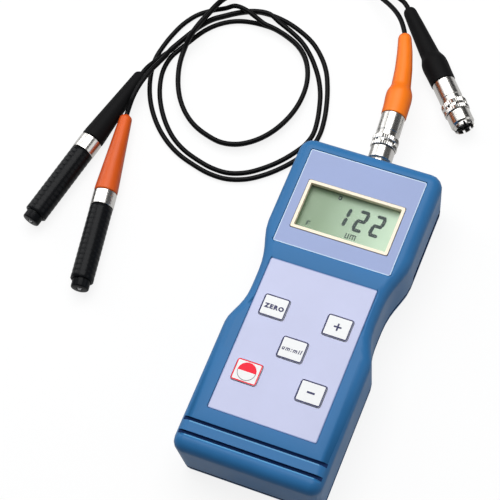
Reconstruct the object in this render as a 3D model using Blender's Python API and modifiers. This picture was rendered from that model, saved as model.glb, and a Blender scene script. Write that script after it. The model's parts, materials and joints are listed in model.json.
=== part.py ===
"""Coating thickness gauge: a hand-held meter, two corded probes and their plugs.

Metres, +Z up. The meter lies on its back: the origin is the middle of the back face,
+Y runs towards the socket end and +Z comes out of the display side.
"""
import math

import bmesh
import bpy
from mathutils import Matrix, Vector

# Meter housing
BODY_LENGTH = 0.161
BODY_WIDTH = 0.069
BODY_HEIGHT = 0.032
DRAFT = 0.055
FRONT_EDGE = 0.005
REAR_EDGE = 0.0025
HEAD_CORNER = 0.0065
FOOT_CORNER = 0.0055
SIDE_WALL = 0.002
FACE_WALL = 0.0024
WAIST_DEPTH = 0.005
WAIST_HEAD_END = 0.006
WAIST_FOOT_END = 0.004
HEAD_SHOULDER_SETBACK = 0.0455
FOOT_SHOULDER_SETBACK = 0.0625
CLEARANCE = 0.0003

# Parting line between the covers
REAR_COVER_HEIGHT = 0.0039
SEAM_WIDTH = 0.0015
SEAM_DEPTH = 0.0008
TONGUE_HEIGHT = 0.0029
TONGUE_WALL = 0.0013
REAR_FLOOR = 0.0024

# Grooves moulded into the front cover
FOOT_GROOVE_SETBACKS = (0.0142, 0.0078)
FOOT_GROOVE_WIDTH = 0.0017
FOOT_GROOVE_DEPTH = 0.0015
SIDE_GROOVE_SETBACK = 0.007
SIDE_GROOVE_LENGTH = 0.0363
SIDE_GROOVE_WIDTH = 0.003
SIDE_GROOVE_DEPTH = 0.0014
SIDE_GROOVE_TAIL = 0.0068
SIDE_GROOVE_TAIL_LEAN = 0.0016
SIDE_GROOVE_TAIL_ROOT = 0.0006
SIDE_GROOVE_END_SLANT = 0.001

# Labels
LABEL_THICKNESS = 0.0004
LABEL_DEPTH = 0.0003
DISPLAY_LABEL_BORDER = 0.0047
DISPLAY_LABEL_SETBACK = 0.0063
DISPLAY_LABEL_HEIGHT = 0.049
KEYPAD_LABEL_MARGIN = 0.00425
KEYPAD_LABEL_SETBACK = 0.0217
LABEL_SPACING = 0.0083
LABEL_CORNER = 0.0008

# Display
BEZEL_WIDTH = 0.0464
BEZEL_HEIGHT = 0.025
BEZEL_BORDER = 0.0014
BEZEL_FLANGE = 0.0018
BEZEL_FLANGE_THICKNESS = 0.001
DISPLAY_SETBACK = 0.0339
WINDOW_THICKNESS = 0.001
WINDOW_REST = 0.0007
LCD_SIDE_INSET = 0.0002
LCD_END_REACH = 0.00025
LCD_THICKNESS = 0.002
LCD_HOLDER_WALL = 0.0012
STRIP_WIDTH = 0.002
STRIP_INSET = 0.002

# Keys
KEY_WIDTH = 0.0118
KEY_HEIGHT = 0.0103
KEY_CORNER = 0.001
KEY_RISE = 0.0006
KEY_FLANGE = 0.001
KEY_FLANGE_THICKNESS = 0.001
KEY_TRAVEL = 0.0006
KEY_SIDE_MARGIN = 0.0103
KEY_ROW_PITCH = 0.01635
KEY_ROWS_DROP = 0.0009

# Circuit board
BOARD_SIDE_MARGIN = 0.0083
BOARD_FOOT_MARGIN = 0.0145
BOARD_HEAD_MARGIN = 0.0185
BOARD_THICKNESS = 0.0016
SWITCH_SIZE = 0.006
SWITCH_BODY = 0.0035
SWITCH_BUTTON_RADIUS = 0.00175
POST_EDGE = 0.0025
FOOT_POST_EDGE = 0.004
DISPLAY_POST_SPACING = 0.0226
POST_RADIUS = 0.0025
BOARD_SCREW_RADIUS = 0.001
BOARD_SCREW_LENGTH = 0.008
CHIPS = (
    ((-0.006, 0.004), (0.012, 0.012), 0.0018), ((0.0125, 0.012), (0.006, 0.009), 0.0015),
    ((0.004, -0.010), (0.009, 0.005), 0.0015), ((-0.014, 0.034), (0.009, 0.005), 0.0015),
    ((0.011, 0.038), (0.010, 0.005), 0.0032),
)

# Case screws
HEAD_SCREW_SIDE = 0.008
HEAD_SCREW_SETBACK = 0.014
FOOT_SCREW_SPACING = 0.00035
FOOT_SCREW_SETBACK = 0.01
CASE_SCREW_RADIUS = 0.0012
CASE_SCREW_LENGTH = 0.014
CASE_SCREW_HEAD_RADIUS = 0.0023
CASE_SCREW_HEAD_HEIGHT = 0.0016
CASE_SCREW_SINK = 0.0016
BOSS_RADIUS = 0.0034
SCREW_SLOT = 0.0007

# Batteries and their cover
BATTERY_RADIUS = 0.00525
BATTERY_LENGTH = 0.0437
BATTERY_CAP_RADIUS = 0.0019
BATTERY_CAP_HEIGHT = 0.0008
BATTERY_COUNT = 4
BAY_SETBACK = 0.0063
BAY_WALL = 0.0018
CONTACT_THICKNESS = 0.0004
CONTACT_SIZE = 0.0084
SPRING_LENGTH = 0.0034
SPRING_WIRE = 0.0007
SPRING_RADIUS = 0.0026
DOOR_THICKNESS = 0.0022
DOOR_FLANGE = 0.001
DOOR_LEDGE = 0.0009
DOOR_GRIP_RIBS = 5
DOOR_GRIP_PITCH = 0.0022
DOOR_GRIP_DEPTH = 0.0004

# Socket in the head end
SOCKET_RADIUS = 0.006
SOCKET_REACH = 0.0044
SOCKET_FLANGE_RADIUS = 0.0072
SOCKET_FLANGE = 0.0016
SOCKET_TAIL = 0.007
SOCKET_BORE_RADIUS = 0.00535
SOCKET_BORE_DEPTH = 0.009
NUT_ACROSS_FLATS = 0.0145
NUT_THICKNESS = 0.0022
SOCKET_SEAT_RADIUS = 0.0089

# Plugs
PLUG_COLLET_RADIUS = 0.00495
PLUG_COLLET_LENGTH = 0.0018
PLUG_COLLET_WALL = 0.0006
PLUG_SLOTS = 4
PLUG_SLOT_WIDTH = 0.0011
PLUG_NOSE_RADIUS = 0.00575
PLUG_NOSE_LENGTH = 0.0066
PLUG_SHELL_RADIUS = 0.0054
PLUG_BODY_RADIUS = 0.00565
PLUG_SHELL_LENGTH = 0.0113
PLUG_BORE_DEPTH = 0.0125
PLUG_TAIL_RADIUS = 0.0041
PLUG_TAIL_LENGTH = 0.006
PLUG_INSERT_DEPTH = 0.0026
RING_RADIUS = 0.0063
RING_GROOVE_RADIUS = 0.006
RING_LENGTH = 0.0068
RING_BAND = 0.0021
RING_BORE_RADIUS = 0.0057
RING_TRAVEL = 0.0016
KNURL_TEETH = 18
KNURL_DEPTH = 0.00028
PLUG_LEAN = 4.5
PLUG_SEAT_GAP = 0.00075
PIN_RADIUS = 0.00045
PIN_CIRCLE = 0.0022
PIN_COUNT = 4
PLUG_BOOT_LENGTH = 0.0452
PLUG_BOOT_RADIUS = 0.00635
PLUG_REST_GAP = 0.00005
ORANGE_BOOT_SWEEP = 17.4
BLACK_PLUG_NOSE = (0.0297, 0.1197)
BLACK_PLUG_HEADING = 131.3

# Probes
PROBE_HEAD_RADIUS = 0.0043
PROBE_HEAD_REACH = 0.0042
PROBE_HEAD_TAIL = 0.0118
PROBE_TIP_RADIUS = 0.0011
PROBE_TIP_REACH = 0.0004
PROBE_GRIP_RADIUS = 0.0055
PROBE_GRIP_LENGTH = 0.0385
GRIP_GROOVES = 13
GRIP_GROOVE_PITCH = 0.0027
GRIP_GROOVE_WIDTH = 0.0008
GRIP_GROOVE_DEPTH = 0.0003
HEAD_SPRING_LENGTH = 0.007
HEAD_SPRING_RADIUS = 0.0033
HEAD_SPRING_WIRE = 0.0007
PROBE_BAND_RADIUS = 0.00565
PROBE_BAND_LENGTH = 0.0075
PROBE_BAND_WALL = 0.0014
PROBE_BOOT_LENGTH = 0.0426
PROBE_BOOT_ROOT = 0.0057
PROBE_BOOT_TIP = 0.0031
PROBE_REST = 0.0058
BLACK_PROBE_NOSE = (-0.1478, 0.0081)
BLACK_PROBE_HEADING = 78.4
ORANGE_PROBE_NOSE = (-0.1109, -0.0166)
ORANGE_PROBE_HEADING = 99.85

# Cables, whose routes are chosen points in millimetres
CABLE_RADIUS = 0.0012
CABLE_SPANS = 74
CABLE_LEAD = 0.0015
FLOOR = 1.25
RAISE = (0.8, -1.17, 2.82)
LEAD_TOP = [
    (-122.4, 118.8, FLOOR), (-119.9, 124.2, FLOOR), (-116.9, 130.2, FLOOR),
    (-113.8, 136.0, FLOOR), (-109.6, 141.3, FLOOR), (-104.2, 145.3, FLOOR),
    (-98.0, 149.3, FLOOR), (-91.0, 152.3, FLOOR), (-83.5, 153.0, FLOOR),
]
INNER_TURN = [
    (-78.3, 146.0, FLOOR), (-70.8, 143.8, FLOOR), (-63.7, 140.4, FLOOR),
    (-58.0, 135.4, FLOOR), (-54.0, 129.0, FLOOR), (-51.7, 121.8, FLOOR),
    (-51.0, 114.0, FLOOR), (-51.8, 106.2, FLOOR), (-54.2, 98.4, FLOOR),
    (-58.2, 90.9, FLOOR), (-64.0, 84.4, FLOOR), (-71.2, 79.9, FLOOR),
    (-79.0, 78.4, FLOOR), (-87.0, 79.9, FLOOR), (-94.6, 82.9, FLOOR),
    (-101.4, 87.8, FLOOR), (-106.9, 94.0, FLOOR), (-111.0, 101.0, FLOOR),
    (-113.9, 108.4, FLOOR), (-115.4, 114.6, 1.35),
]
LEAVING = [
    (-115.7, 119.8, 2.3), (-115.0, 125.4, 4.8), (-113.5, 130.8, 6.8), (-111.9, 136.3, 7.2),
    (-110.5, 141.6, 6.6), (-109.2, 146.6, 6.1), (-107.6, 151.8, 4.9), (-105.2, 157.0, 3.0),
]
BLACK_START = [
    (-127.9, 104.6, 5.2), (-126.4, 109.0, 3.9), (-124.6, 113.8, 2.4),
]
BLACK_OUTER_TURN = [
    (-74.5, 151.8, FLOOR), (-65.6, 148.8, FLOOR), (-57.0, 144.2, FLOOR),
    (-50.0, 137.8, FLOOR), (-45.0, 131.0, FLOOR), (-41.3, 123.0, FLOOR),
    (-38.5, 114.7, FLOOR), (-36.4, 106.0, FLOOR), (-35.5, 97.5, FLOOR),
    (-36.6, 90.0, FLOOR), (-40.2, 82.6, FLOOR), (-45.8, 75.3, FLOOR),
    (-52.4, 68.9, FLOOR), (-60.2, 63.7, FLOOR), (-69.0, 60.9, FLOOR),
    (-78.0, 60.9, FLOOR), (-87.0, 62.9, FLOOR), (-96.0, 66.0, FLOOR),
    (-103.6, 70.3, FLOOR), (-110.4, 75.8, FLOOR), (-116.2, 82.2, FLOOR),
    (-121.0, 89.3, FLOOR), (-124.6, 97.0, FLOOR), (-126.9, 104.8, FLOOR),
    (-127.8, 112.0, FLOOR), (-127.0, 119.2, FLOOR), (-125.2, 127.0, FLOOR),
    (-122.2, 135.0, FLOOR), (-117.6, 141.8, FLOOR), (-111.8, 146.4, FLOOR),
    (-105.4, 148.9, 2.7), (-99.6, 149.5, 6.7), (-93.8, 148.7, 7.3),
    (-88.2, 147.2, 5.8), (-83.0, 145.6, 4.5),
]
BLACK_END = [
    (-102.9, 162.0, 4.4), (-100.5, 168.8, 2.6), (-95.0, 175.8, 1.4), (-87.0, 182.4, FLOOR),
    (-77.5, 187.2, FLOOR), (-67.0, 190.0, FLOOR), (-56.5, 190.6, FLOOR),
    (-47.4, 188.8, FLOOR), (-40.0, 185.5, 1.8), (-34.2, 182.8, 3.1), (-29.2, 181.0, 4.6),
    (-24.9, 179.1, 5.6), (-21.4, 177.2, 6.2),
]
ORANGE_START = [
    (-127.2, 80.4, 7.0), (-127.0, 84.6, 8.6), (-126.6, 90.6, 9.1), (-125.6, 97.0, 8.9),
    (-124.4, 102.6, 8.1), (-123.1, 107.8, 6.9), (-122.1, 112.8, 5.4),
]
ORANGE_OUTER_TURN = [
    (-76.5, 149.6, 2.6), (-69.5, 147.0, 1.4), (-62.5, 143.2, FLOOR), (-56.4, 138.0, FLOOR),
    (-51.2, 132.0, FLOOR), (-46.8, 125.6, FLOOR), (-43.4, 118.7, FLOOR),
    (-41.0, 111.3, FLOOR), (-39.2, 103.5, FLOOR), (-38.6, 96.6, FLOOR),
    (-40.0, 90.4, FLOOR), (-43.4, 84.4, FLOOR), (-48.4, 77.8, FLOOR), (-54.6, 71.8, FLOOR),
    (-61.6, 66.9, FLOOR), (-69.6, 64.1, FLOOR), (-77.8, 64.1, FLOOR), (-86.0, 65.9, FLOOR),
    (-94.2, 68.8, FLOOR), (-101.4, 73.0, FLOOR), (-107.6, 78.6, FLOOR),
    (-112.9, 85.2, FLOOR), (-117.2, 92.4, FLOOR), (-120.2, 100.0, FLOOR),
    (-121.6, 107.6, FLOOR), (-120.9, 114.8, FLOOR), (-118.7, 120.0, FLOOR),
    (-116.2, 124.8, FLOOR), (-113.6, 129.8, FLOOR), (-110.6, 134.6, FLOOR),
    (-106.8, 138.8, FLOOR), (-102.2, 142.2, FLOOR), (-96.8, 144.7, FLOOR),
    (-91.0, 146.0, FLOOR), (-84.6, 146.4, FLOOR),
]
ORANGE_END = [
    (-101.2, 162.5, 1.5), (-95.9, 169.0, FLOOR), (-88.6, 175.6, FLOOR), (-79.4, 181.0, FLOOR),
    (-69.2, 184.8, FLOOR), (-58.6, 186.4, 1.4), (-50.8, 184.4, 2.8), (-43.6, 181.2, 5.0),
    (-36.8, 177.3, 7.5), (-30.8, 173.4, 10.1), (-25.4, 169.6, 12.4), (-21.0, 165.9, 14.2),
    (-17.5, 162.2, 15.3), (-14.9, 158.6, 15.9),
]

# Sizes worked out from those above
HALF_LENGTH = BODY_LENGTH / 2
HALF_WIDTH = BODY_WIDTH / 2
HEAD_SHOULDER = HALF_LENGTH - HEAD_SHOULDER_SETBACK
FOOT_SHOULDER = FOOT_SHOULDER_SETBACK - HALF_LENGTH
FOOT_GROOVES = [setback - HALF_LENGTH for setback in FOOT_GROOVE_SETBACKS]
SIDE_GROOVE_END = HALF_LENGTH - SIDE_GROOVE_SETBACK
SIDE_GROOVE_START = SIDE_GROOVE_END - SIDE_GROOVE_LENGTH
DISPLAY_LABEL_WIDTH = BEZEL_WIDTH + 2 * DISPLAY_LABEL_BORDER
DISPLAY_LABEL_HEAD = HALF_LENGTH - DISPLAY_LABEL_SETBACK
DISPLAY_LABEL_FOOT = DISPLAY_LABEL_HEAD - DISPLAY_LABEL_HEIGHT
KEYPAD_LABEL_WIDTH = BODY_WIDTH - 2 * (WAIST_DEPTH + KEYPAD_LABEL_MARGIN)
KEYPAD_LABEL_HEAD = DISPLAY_LABEL_FOOT - LABEL_SPACING
KEYPAD_LABEL_FOOT = KEYPAD_LABEL_SETBACK - HALF_LENGTH
DISPLAY_Y = HALF_LENGTH - DISPLAY_SETBACK
LCD_WIDTH = BEZEL_WIDTH - 2 * LCD_SIDE_INSET
LCD_HEIGHT = BEZEL_HEIGHT + 2 * LCD_END_REACH
STRIP_LENGTH = LCD_WIDTH - 2 * STRIP_INSET
KEY_COLUMN = KEYPAD_LABEL_WIDTH / 2 - KEY_SIDE_MARGIN
KEY_ROW_Y = (KEYPAD_LABEL_HEAD + KEYPAD_LABEL_FOOT) / 2 - KEY_ROWS_DROP
KEY_PLACES = {
    "key_zero": (-KEY_COLUMN, KEY_ROW_Y + KEY_ROW_PITCH),
    "key_plus": (KEY_COLUMN, KEY_ROW_Y + KEY_ROW_PITCH),
    "key_unit": (0.0, KEY_ROW_Y),
    "key_power": (-KEY_COLUMN, KEY_ROW_Y - KEY_ROW_PITCH),
    "key_minus": (KEY_COLUMN, KEY_ROW_Y - KEY_ROW_PITCH),
}
WIDEST_Z = BODY_HEIGHT - FRONT_EDGE
FRONT_RIM_Z = REAR_COVER_HEIGHT + SEAM_WIDTH
LEDGE_Z = FRONT_RIM_Z - CLEARANCE
CEILING_Z = BODY_HEIGHT - FACE_WALL
LABEL_TOP_Z = BODY_HEIGHT - LABEL_DEPTH
LABEL_BACK_Z = LABEL_TOP_Z - LABEL_THICKNESS
LABEL_SEAT_Z = LABEL_BACK_Z - CLEARANCE
FLANGE_TOP_Z = CEILING_Z - CLEARANCE
FLANGE_BACK_Z = FLANGE_TOP_Z - BEZEL_FLANGE_THICKNESS
LCD_TOP_Z = FLANGE_BACK_Z - 2 * CLEARANCE
LCD_BACK_Z = LCD_TOP_Z - LCD_THICKNESS
KEY_FLANGE_BACK_Z = FLANGE_TOP_Z - KEY_FLANGE_THICKNESS
SWITCH_TOP_Z = KEY_FLANGE_BACK_Z - KEY_TRAVEL - 0.5 * CLEARANCE
BAY_HALF_WIDTH = BATTERY_COUNT * (BATTERY_RADIUS + CLEARANCE / 2) + CLEARANCE / 2
BATTERY_PITCH = 2 * BATTERY_RADIUS + CLEARANCE
BATTERY_AXIS_Z = DOOR_THICKNESS + 2 * CLEARANCE + BATTERY_RADIUS
BAY_CEILING_Z = BATTERY_AXIS_Z + BATTERY_RADIUS + CLEARANCE
BAY_TOP_Z = BAY_CEILING_Z + BAY_WALL
BAY_FOOT = BAY_SETBACK - HALF_LENGTH
BOARD_BACK_Z = (LCD_BACK_Z + BAY_TOP_Z - BOARD_THICKNESS) / 2
BOARD_TOP_Z = BOARD_BACK_Z + BOARD_THICKNESS
BOARD_WIDTH = BODY_WIDTH - 2 * BOARD_SIDE_MARGIN
BOARD_FOOT = BOARD_FOOT_MARGIN - HALF_LENGTH
BOARD_HEAD = HALF_LENGTH - BOARD_HEAD_MARGIN
POST_X = BOARD_WIDTH / 2 - POST_EDGE
BOARD_POSTS = [(side * POST_X, y) for y in (DISPLAY_Y - DISPLAY_POST_SPACING,
                                            BOARD_FOOT + FOOT_POST_EDGE) for side in (-1, 1)]
HEAD_SCREW_X = HALF_WIDTH - HEAD_SCREW_SIDE
FOOT_SCREW_X = BAY_HALF_WIDTH + BAY_WALL + BOSS_RADIUS + FOOT_SCREW_SPACING
CASE_SCREW_PLACES = (
    (-HEAD_SCREW_X, HALF_LENGTH - HEAD_SCREW_SETBACK),
    (HEAD_SCREW_X, HALF_LENGTH - HEAD_SCREW_SETBACK),
    (-FOOT_SCREW_X, FOOT_SCREW_SETBACK - HALF_LENGTH),
    (FOOT_SCREW_X, FOOT_SCREW_SETBACK - HALF_LENGTH),
)
CONTACT_SPACE = CONTACT_THICKNESS + 2 * CLEARANCE
BATTERY_SPAN = BATTERY_LENGTH + BATTERY_CAP_HEIGHT
BAY_HEAD = BAY_FOOT + 2 * CONTACT_SPACE + SPRING_LENGTH + CLEARANCE + BATTERY_SPAN
DOOR_HALF_WIDTH = BAY_HALF_WIDTH - CLEARANCE
DOOR_HEAD = BAY_HEAD
SOCKET_Z = BODY_HEIGHT / 2
SOCKET_WALL_Y = HALF_LENGTH - (WIDEST_Z - SOCKET_Z) * DRAFT
SOCKET_FACE_Y = SOCKET_WALL_Y + SOCKET_REACH
PLUG_RING_START = PLUG_COLLET_LENGTH + PLUG_NOSE_LENGTH + CLEARANCE
PLUG_BOOT_START = PLUG_RING_START + RING_LENGTH + PLUG_SHELL_LENGTH
PLUG_SHELL_BORE = PLUG_COLLET_RADIUS - PLUG_COLLET_WALL
PLUG_INSERT_RADIUS = PLUG_SHELL_BORE - CLEARANCE
PLUG_TAIL_BORE = CABLE_RADIUS + CLEARANCE
BLACK_PLUG_Z = max(RING_RADIUS, PLUG_BOOT_RADIUS) + PLUG_REST_GAP
GRIP_START = PROBE_HEAD_REACH
GRIP_END = GRIP_START + PROBE_GRIP_LENGTH
GRIP_BORE_RADIUS = PROBE_HEAD_RADIUS + CLEARANCE
HEAD_END = GRIP_START + PROBE_HEAD_TAIL
GRIP_BORE_END = HEAD_END + HEAD_SPRING_LENGTH + 2 * CLEARANCE
BAND_START = GRIP_END + CLEARANCE
BAND_END = BAND_START + PROBE_BAND_LENGTH
PROBE_BOOT_START = BAND_END + CLEARANCE
PROBE_BOOT_END = PROBE_BOOT_START + PROBE_BOOT_LENGTH

BLUE = (0.035, 0.17, 0.40)
LILAC = (0.36, 0.42, 0.72)
PALE_LILAC = (0.56, 0.58, 0.82)
CREAM = (0.89, 0.78, 0.62)
WHITE = (0.86, 0.86, 0.88)
LCD_GREEN = (0.40, 0.53, 0.38)
GLASS = (0.85, 0.9, 0.88)
BOARD_GREEN = (0.02, 0.16, 0.07)
BLACK = (0.012, 0.012, 0.014)
GREY = (0.25, 0.25, 0.26)
CHROME = (0.62, 0.61, 0.60)
STEEL = (0.45, 0.45, 0.46)
ORANGE = (0.85, 0.13, 0.015)
RUST_ORANGE = (0.62, 0.10, 0.02)
CELL_RED = (0.55, 0.05, 0.04)

PARTS = "coating_thickness_gauge"
CUTTERS = "cutters"


def clear_scene():
    """Remove what the file opened with."""
    for item in list(bpy.data.objects):
        bpy.data.objects.remove(item, do_unlink=True)
    for name in (PARTS, CUTTERS):
        bpy.context.scene.collection.children.link(bpy.data.collections.new(name))


def finish(name, colour, roughness, metallic=0.0):
    """A plain material for one sub-part."""
    material = bpy.data.materials.new(name)
    material.use_nodes = True
    shader = material.node_tree.nodes["Principled BSDF"]
    shader.inputs["Base Color"].default_value = (*colour, 1.0)
    shader.inputs["Roughness"].default_value = roughness
    shader.inputs["Metallic"].default_value = metallic
    return material


def to_object(name, bm, place=None):
    """Turn a closed bmesh into an object in the cutters' collection."""
    bmesh.ops.recalc_face_normals(bm, faces=bm.faces)
    mesh = bpy.data.meshes.new(name)
    bm.to_mesh(mesh)
    bm.free()
    item = bpy.data.objects.new(name, mesh)
    bpy.data.collections[CUTTERS].objects.link(item)
    item.hide_render = True
    item.display_type = "WIRE"
    if place is not None:
        item.matrix_world = place
    return item


def to_part(item, colour, roughness, metallic=0.0):
    """Make an object a sub-part: its own material, and a place among the parts."""
    bpy.data.collections[CUTTERS].objects.unlink(item)
    bpy.data.collections[PARTS].objects.link(item)
    item.hide_render = False
    item.display_type = "TEXTURED"
    item.data.materials.clear()
    item.data.materials.append(finish(item.name, colour, roughness, metallic))
    if item.type == "MESH":
        item.data.shade_smooth()
        item.data.set_sharp_from_angle(angle=math.radians(35))
    return item


def boolean(item, tool, operation):
    """Cut, join or intersect an object with another one."""
    step = item.modifiers.new(f"{operation.lower()}_{tool.name}", "BOOLEAN")
    step.operation = operation
    step.solver = "EXACT"
    step.object = tool
    return item


def cut(item, *tools):
    for tool in tools:
        boolean(item, tool, "DIFFERENCE")
    return item


def join(item, *tools):
    for tool in tools:
        boolean(item, tool, "UNION")
    return item


def stack(bm, rings):
    """Extrude the face inside the first ring of points through each further ring."""
    base = bm.faces.new([bm.verts.new(point) for point in rings[0]])
    face = base
    for ring in rings[1:]:
        extruded = bmesh.ops.extrude_face_region(bm, geom=[face])["geom"]
        if face is not base:
            bmesh.ops.delete(bm, geom=[face], context="FACES_ONLY")
        face = next(item for item in extruded if isinstance(item, bmesh.types.BMFace))
        for vert, point in zip(face.verts, ring):
            vert.co = point
    return bm


def stacked(name, rings, place=None):
    return to_object(name, stack(bmesh.new(), rings), place)


def rounded_rectangle(centre, size, corner, z, steps=2):
    """Points of a rectangle with round corners, counter-clockwise at one height."""
    points = []
    for quarter in range(4):
        turn = quarter * math.pi / 2
        side_x = 1 if quarter in (0, 3) else -1
        side_y = 1 if quarter in (0, 1) else -1
        middle_x = centre[0] + side_x * (size[0] / 2 - corner)
        middle_y = centre[1] + side_y * (size[1] / 2 - corner)
        for step in range(steps + 1):
            angle = turn + step / steps * math.pi / 2
            points.append((middle_x + corner * math.cos(angle),
                           middle_y + corner * math.sin(angle), z))
    return points


def slab(name, centre, size, corner, bottom, top, steps=2):
    """A flat plate with round corners."""
    rings = [rounded_rectangle(centre, size, corner, z, steps) for z in (bottom, top)]
    return stacked(name, rings)


def box(name, low, high):
    """A block between two corners."""
    bm = bmesh.new()
    add_block(bm, low, high)
    return to_object(name, bm)


def add_block(bm, low, high):
    low = Vector(low)
    high = Vector(high)
    size = high - low
    place = Matrix.Translation((low + high) / 2) @ Matrix.Diagonal((*size, 1.0))
    bmesh.ops.create_cube(bm, size=1.0, matrix=place)


def add_rod(bm, centre, radius, bottom, top, sides=12, place=None):
    """A round bar along Z in the given frame."""
    middle = Matrix.Translation((centre[0], centre[1], (bottom + top) / 2))
    if place is not None:
        middle = place @ middle
    bmesh.ops.create_cone(bm, cap_ends=True, segments=sides, radius1=radius,
                          radius2=radius, depth=top - bottom, matrix=middle)


def rods(name, centres, radius, bottom, top, sides=12, place=None):
    bm = bmesh.new()
    for centre in centres:
        add_rod(bm, centre, radius, bottom, top, sides, place)
    return to_object(name, bm)


def turned(name, profile, steps, place, hollow=False):
    """A turned piece: (radius, height) pairs down its outer side, spun about local Z."""
    mesh = bpy.data.meshes.new(name)
    count = len(profile)
    edges = [(index, index + 1) for index in range(count - 1)]
    if hollow:
        edges.append((count - 1, 0))
    mesh.from_pydata([(radius, 0.0, height) for radius, height in profile], edges, [])
    item = bpy.data.objects.new(name, mesh)
    bpy.data.collections[CUTTERS].objects.link(item)
    item.hide_render = True
    item.display_type = "WIRE"
    screw = item.modifiers.new("turning", "SCREW")
    screw.axis = "Z"
    screw.angle = 2 * math.pi
    screw.steps = steps
    screw.render_steps = steps
    screw.use_merge_vertices = True
    screw.merge_threshold = 0.00001
    item.matrix_world = place
    return item


def axis_frame(origin, heading):
    """Local Z along a level heading in degrees, local Y up."""
    angle = math.radians(heading)
    along = Vector((math.cos(angle), math.sin(angle), 0.0))
    up = Vector((0.0, 0.0, 1.0))
    across = up.cross(along)
    turn = Matrix((across, up, along)).transposed().to_4x4()
    return Matrix.Translation(origin) @ turn


def side_profile(inset):
    """The right edge of the housing's plan, foot to head, moved inwards by inset."""
    half_width = HALF_WIDTH - inset
    half_length = HALF_LENGTH - inset
    points = []
    corner = max(FOOT_CORNER - inset, 0.0006)
    for step in range(5):
        angle = (step / 4 - 1) * math.pi / 2
        points.append((half_width - corner + corner * math.cos(angle),
                       corner - half_length + corner * math.sin(angle)))
    turns = ((FOOT_SHOULDER, WAIST_FOOT_END, 1), (HEAD_SHOULDER, WAIST_HEAD_END, -1))
    for shoulder, waist, direction in turns:
        steps = 7
        for step in range(steps + 1)[::direction]:
            share = 1 - step / steps
            scoop = WAIST_DEPTH * (1 + math.cos(math.pi * share ** 1.5)) / 2
            points.append((half_width - scoop, waist + (shoulder - waist) * share))
    corner = max(HEAD_CORNER - inset, 0.0006)
    for step in range(5):
        angle = step / 4 * math.pi / 2
        points.append((half_width - corner + corner * math.cos(angle),
                       half_length - corner + corner * math.sin(angle)))
    return points


def wall_taper(z):
    """How far the drafted side wall lies inside the widest outline at a height."""
    return max(WIDEST_Z - z, 0.0) * DRAFT


def outline(inset, z):
    """The housing's plan as a ring of points."""
    right = side_profile(inset)
    left = [(-x, y) for x, y in reversed(right)]
    return [(x, y, z) for x, y in right + left]


def edge_round(radius, base_inset, z_start, direction, steps=3):
    """Rings of a rounded rim: direction 1 closes upwards, -1 opens upwards from z_start."""
    rings = []
    for step in range(1, steps + 1):
        angle = step / steps * math.pi / 2
        if direction > 0:
            rings.append(outline(base_inset + radius * (1 - math.cos(angle)),
                                 z_start + radius * math.sin(angle)))
        else:
            rings.append(outline(base_inset + radius * (1 - math.sin(angle)),
                                 z_start + radius * (1 - math.cos(angle))))
    return rings


def front_cover():
    """The blue upper shell with its face, waist, grooves, bosses and openings."""
    rings = [outline(wall_taper(FRONT_RIM_Z), FRONT_RIM_Z), outline(0.0, WIDEST_Z)]
    rings += edge_round(FRONT_EDGE, 0.0, WIDEST_Z, 1, steps=4)
    cover = stacked("front_cover", rings)
    below = FRONT_RIM_Z - 0.001
    hollow = stacked("front_hollow", [
        outline(wall_taper(below) + SIDE_WALL, below),
        outline(SIDE_WALL, WIDEST_Z - 0.001),
        outline(SIDE_WALL + 0.0012, CEILING_Z),
    ])
    cut(cover, hollow)
    join(cover, case_bosses(), board_posts())
    cut(cover, rods("boss_holes", CASE_SCREW_PLACES, CASE_SCREW_RADIUS + CLEARANCE,
                    FRONT_RIM_Z, CASE_SCREW_SINK + CASE_SCREW_LENGTH + 0.004, 8))
    cut(cover, rods("post_holes", BOARD_POSTS, BOARD_SCREW_RADIUS + CLEARANCE,
                    BOARD_TOP_Z, BOARD_BACK_Z + BOARD_SCREW_LENGTH, 8))
    cut(cover, *label_recesses())
    cut(cover, slab("bezel_opening", (0.0, DISPLAY_Y),
                    (BEZEL_WIDTH + 2 * CLEARANCE, BEZEL_HEIGHT + 2 * CLEARANCE),
                    LABEL_CORNER, CEILING_Z - 0.001, BODY_HEIGHT + 0.001))
    cut(cover, key_holes("face_key_holes", CEILING_Z - 0.001, BODY_HEIGHT + 0.001))
    cut(cover, *foot_grooves(), *side_grooves())
    hole = axis_frame((0.0, SOCKET_WALL_Y, SOCKET_Z), 90.0)
    cut(cover, rods("socket_hole", [(0.0, 0.0)], SOCKET_RADIUS + CLEARANCE, -0.005, 0.002, 20,
                    hole))
    cut(cover, rods("socket_seat", [(0.0, 0.0)], SOCKET_SEAT_RADIUS, 0.0, 0.002, 24, hole))
    return to_part(cover, BLUE, 0.38)


def case_bosses():
    """Screw bosses that hang from the ceiling of the front cover."""
    return rods("case_bosses", CASE_SCREW_PLACES, BOSS_RADIUS,
                FRONT_RIM_Z + TONGUE_HEIGHT + CLEARANCE, CEILING_Z + 0.0008)


def board_posts():
    return rods("board_posts", BOARD_POSTS, POST_RADIUS, BOARD_TOP_Z + CLEARANCE,
                CEILING_Z + 0.0008)


def label_recesses():
    """Shallow seats for the two labels."""
    recesses = []
    for name, width, foot, head in label_sizes():
        recesses.append(slab(f"{name}_seat", (0.0, (foot + head) / 2),
                             (width + 2 * CLEARANCE, head - foot + 2 * CLEARANCE),
                             LABEL_CORNER, LABEL_SEAT_Z, BODY_HEIGHT + 0.001))
    return recesses


def label_sizes():
    return (("display_label", DISPLAY_LABEL_WIDTH, DISPLAY_LABEL_FOOT, DISPLAY_LABEL_HEAD),
            ("keypad_label", KEYPAD_LABEL_WIDTH, KEYPAD_LABEL_FOOT, KEYPAD_LABEL_HEAD))


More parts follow.
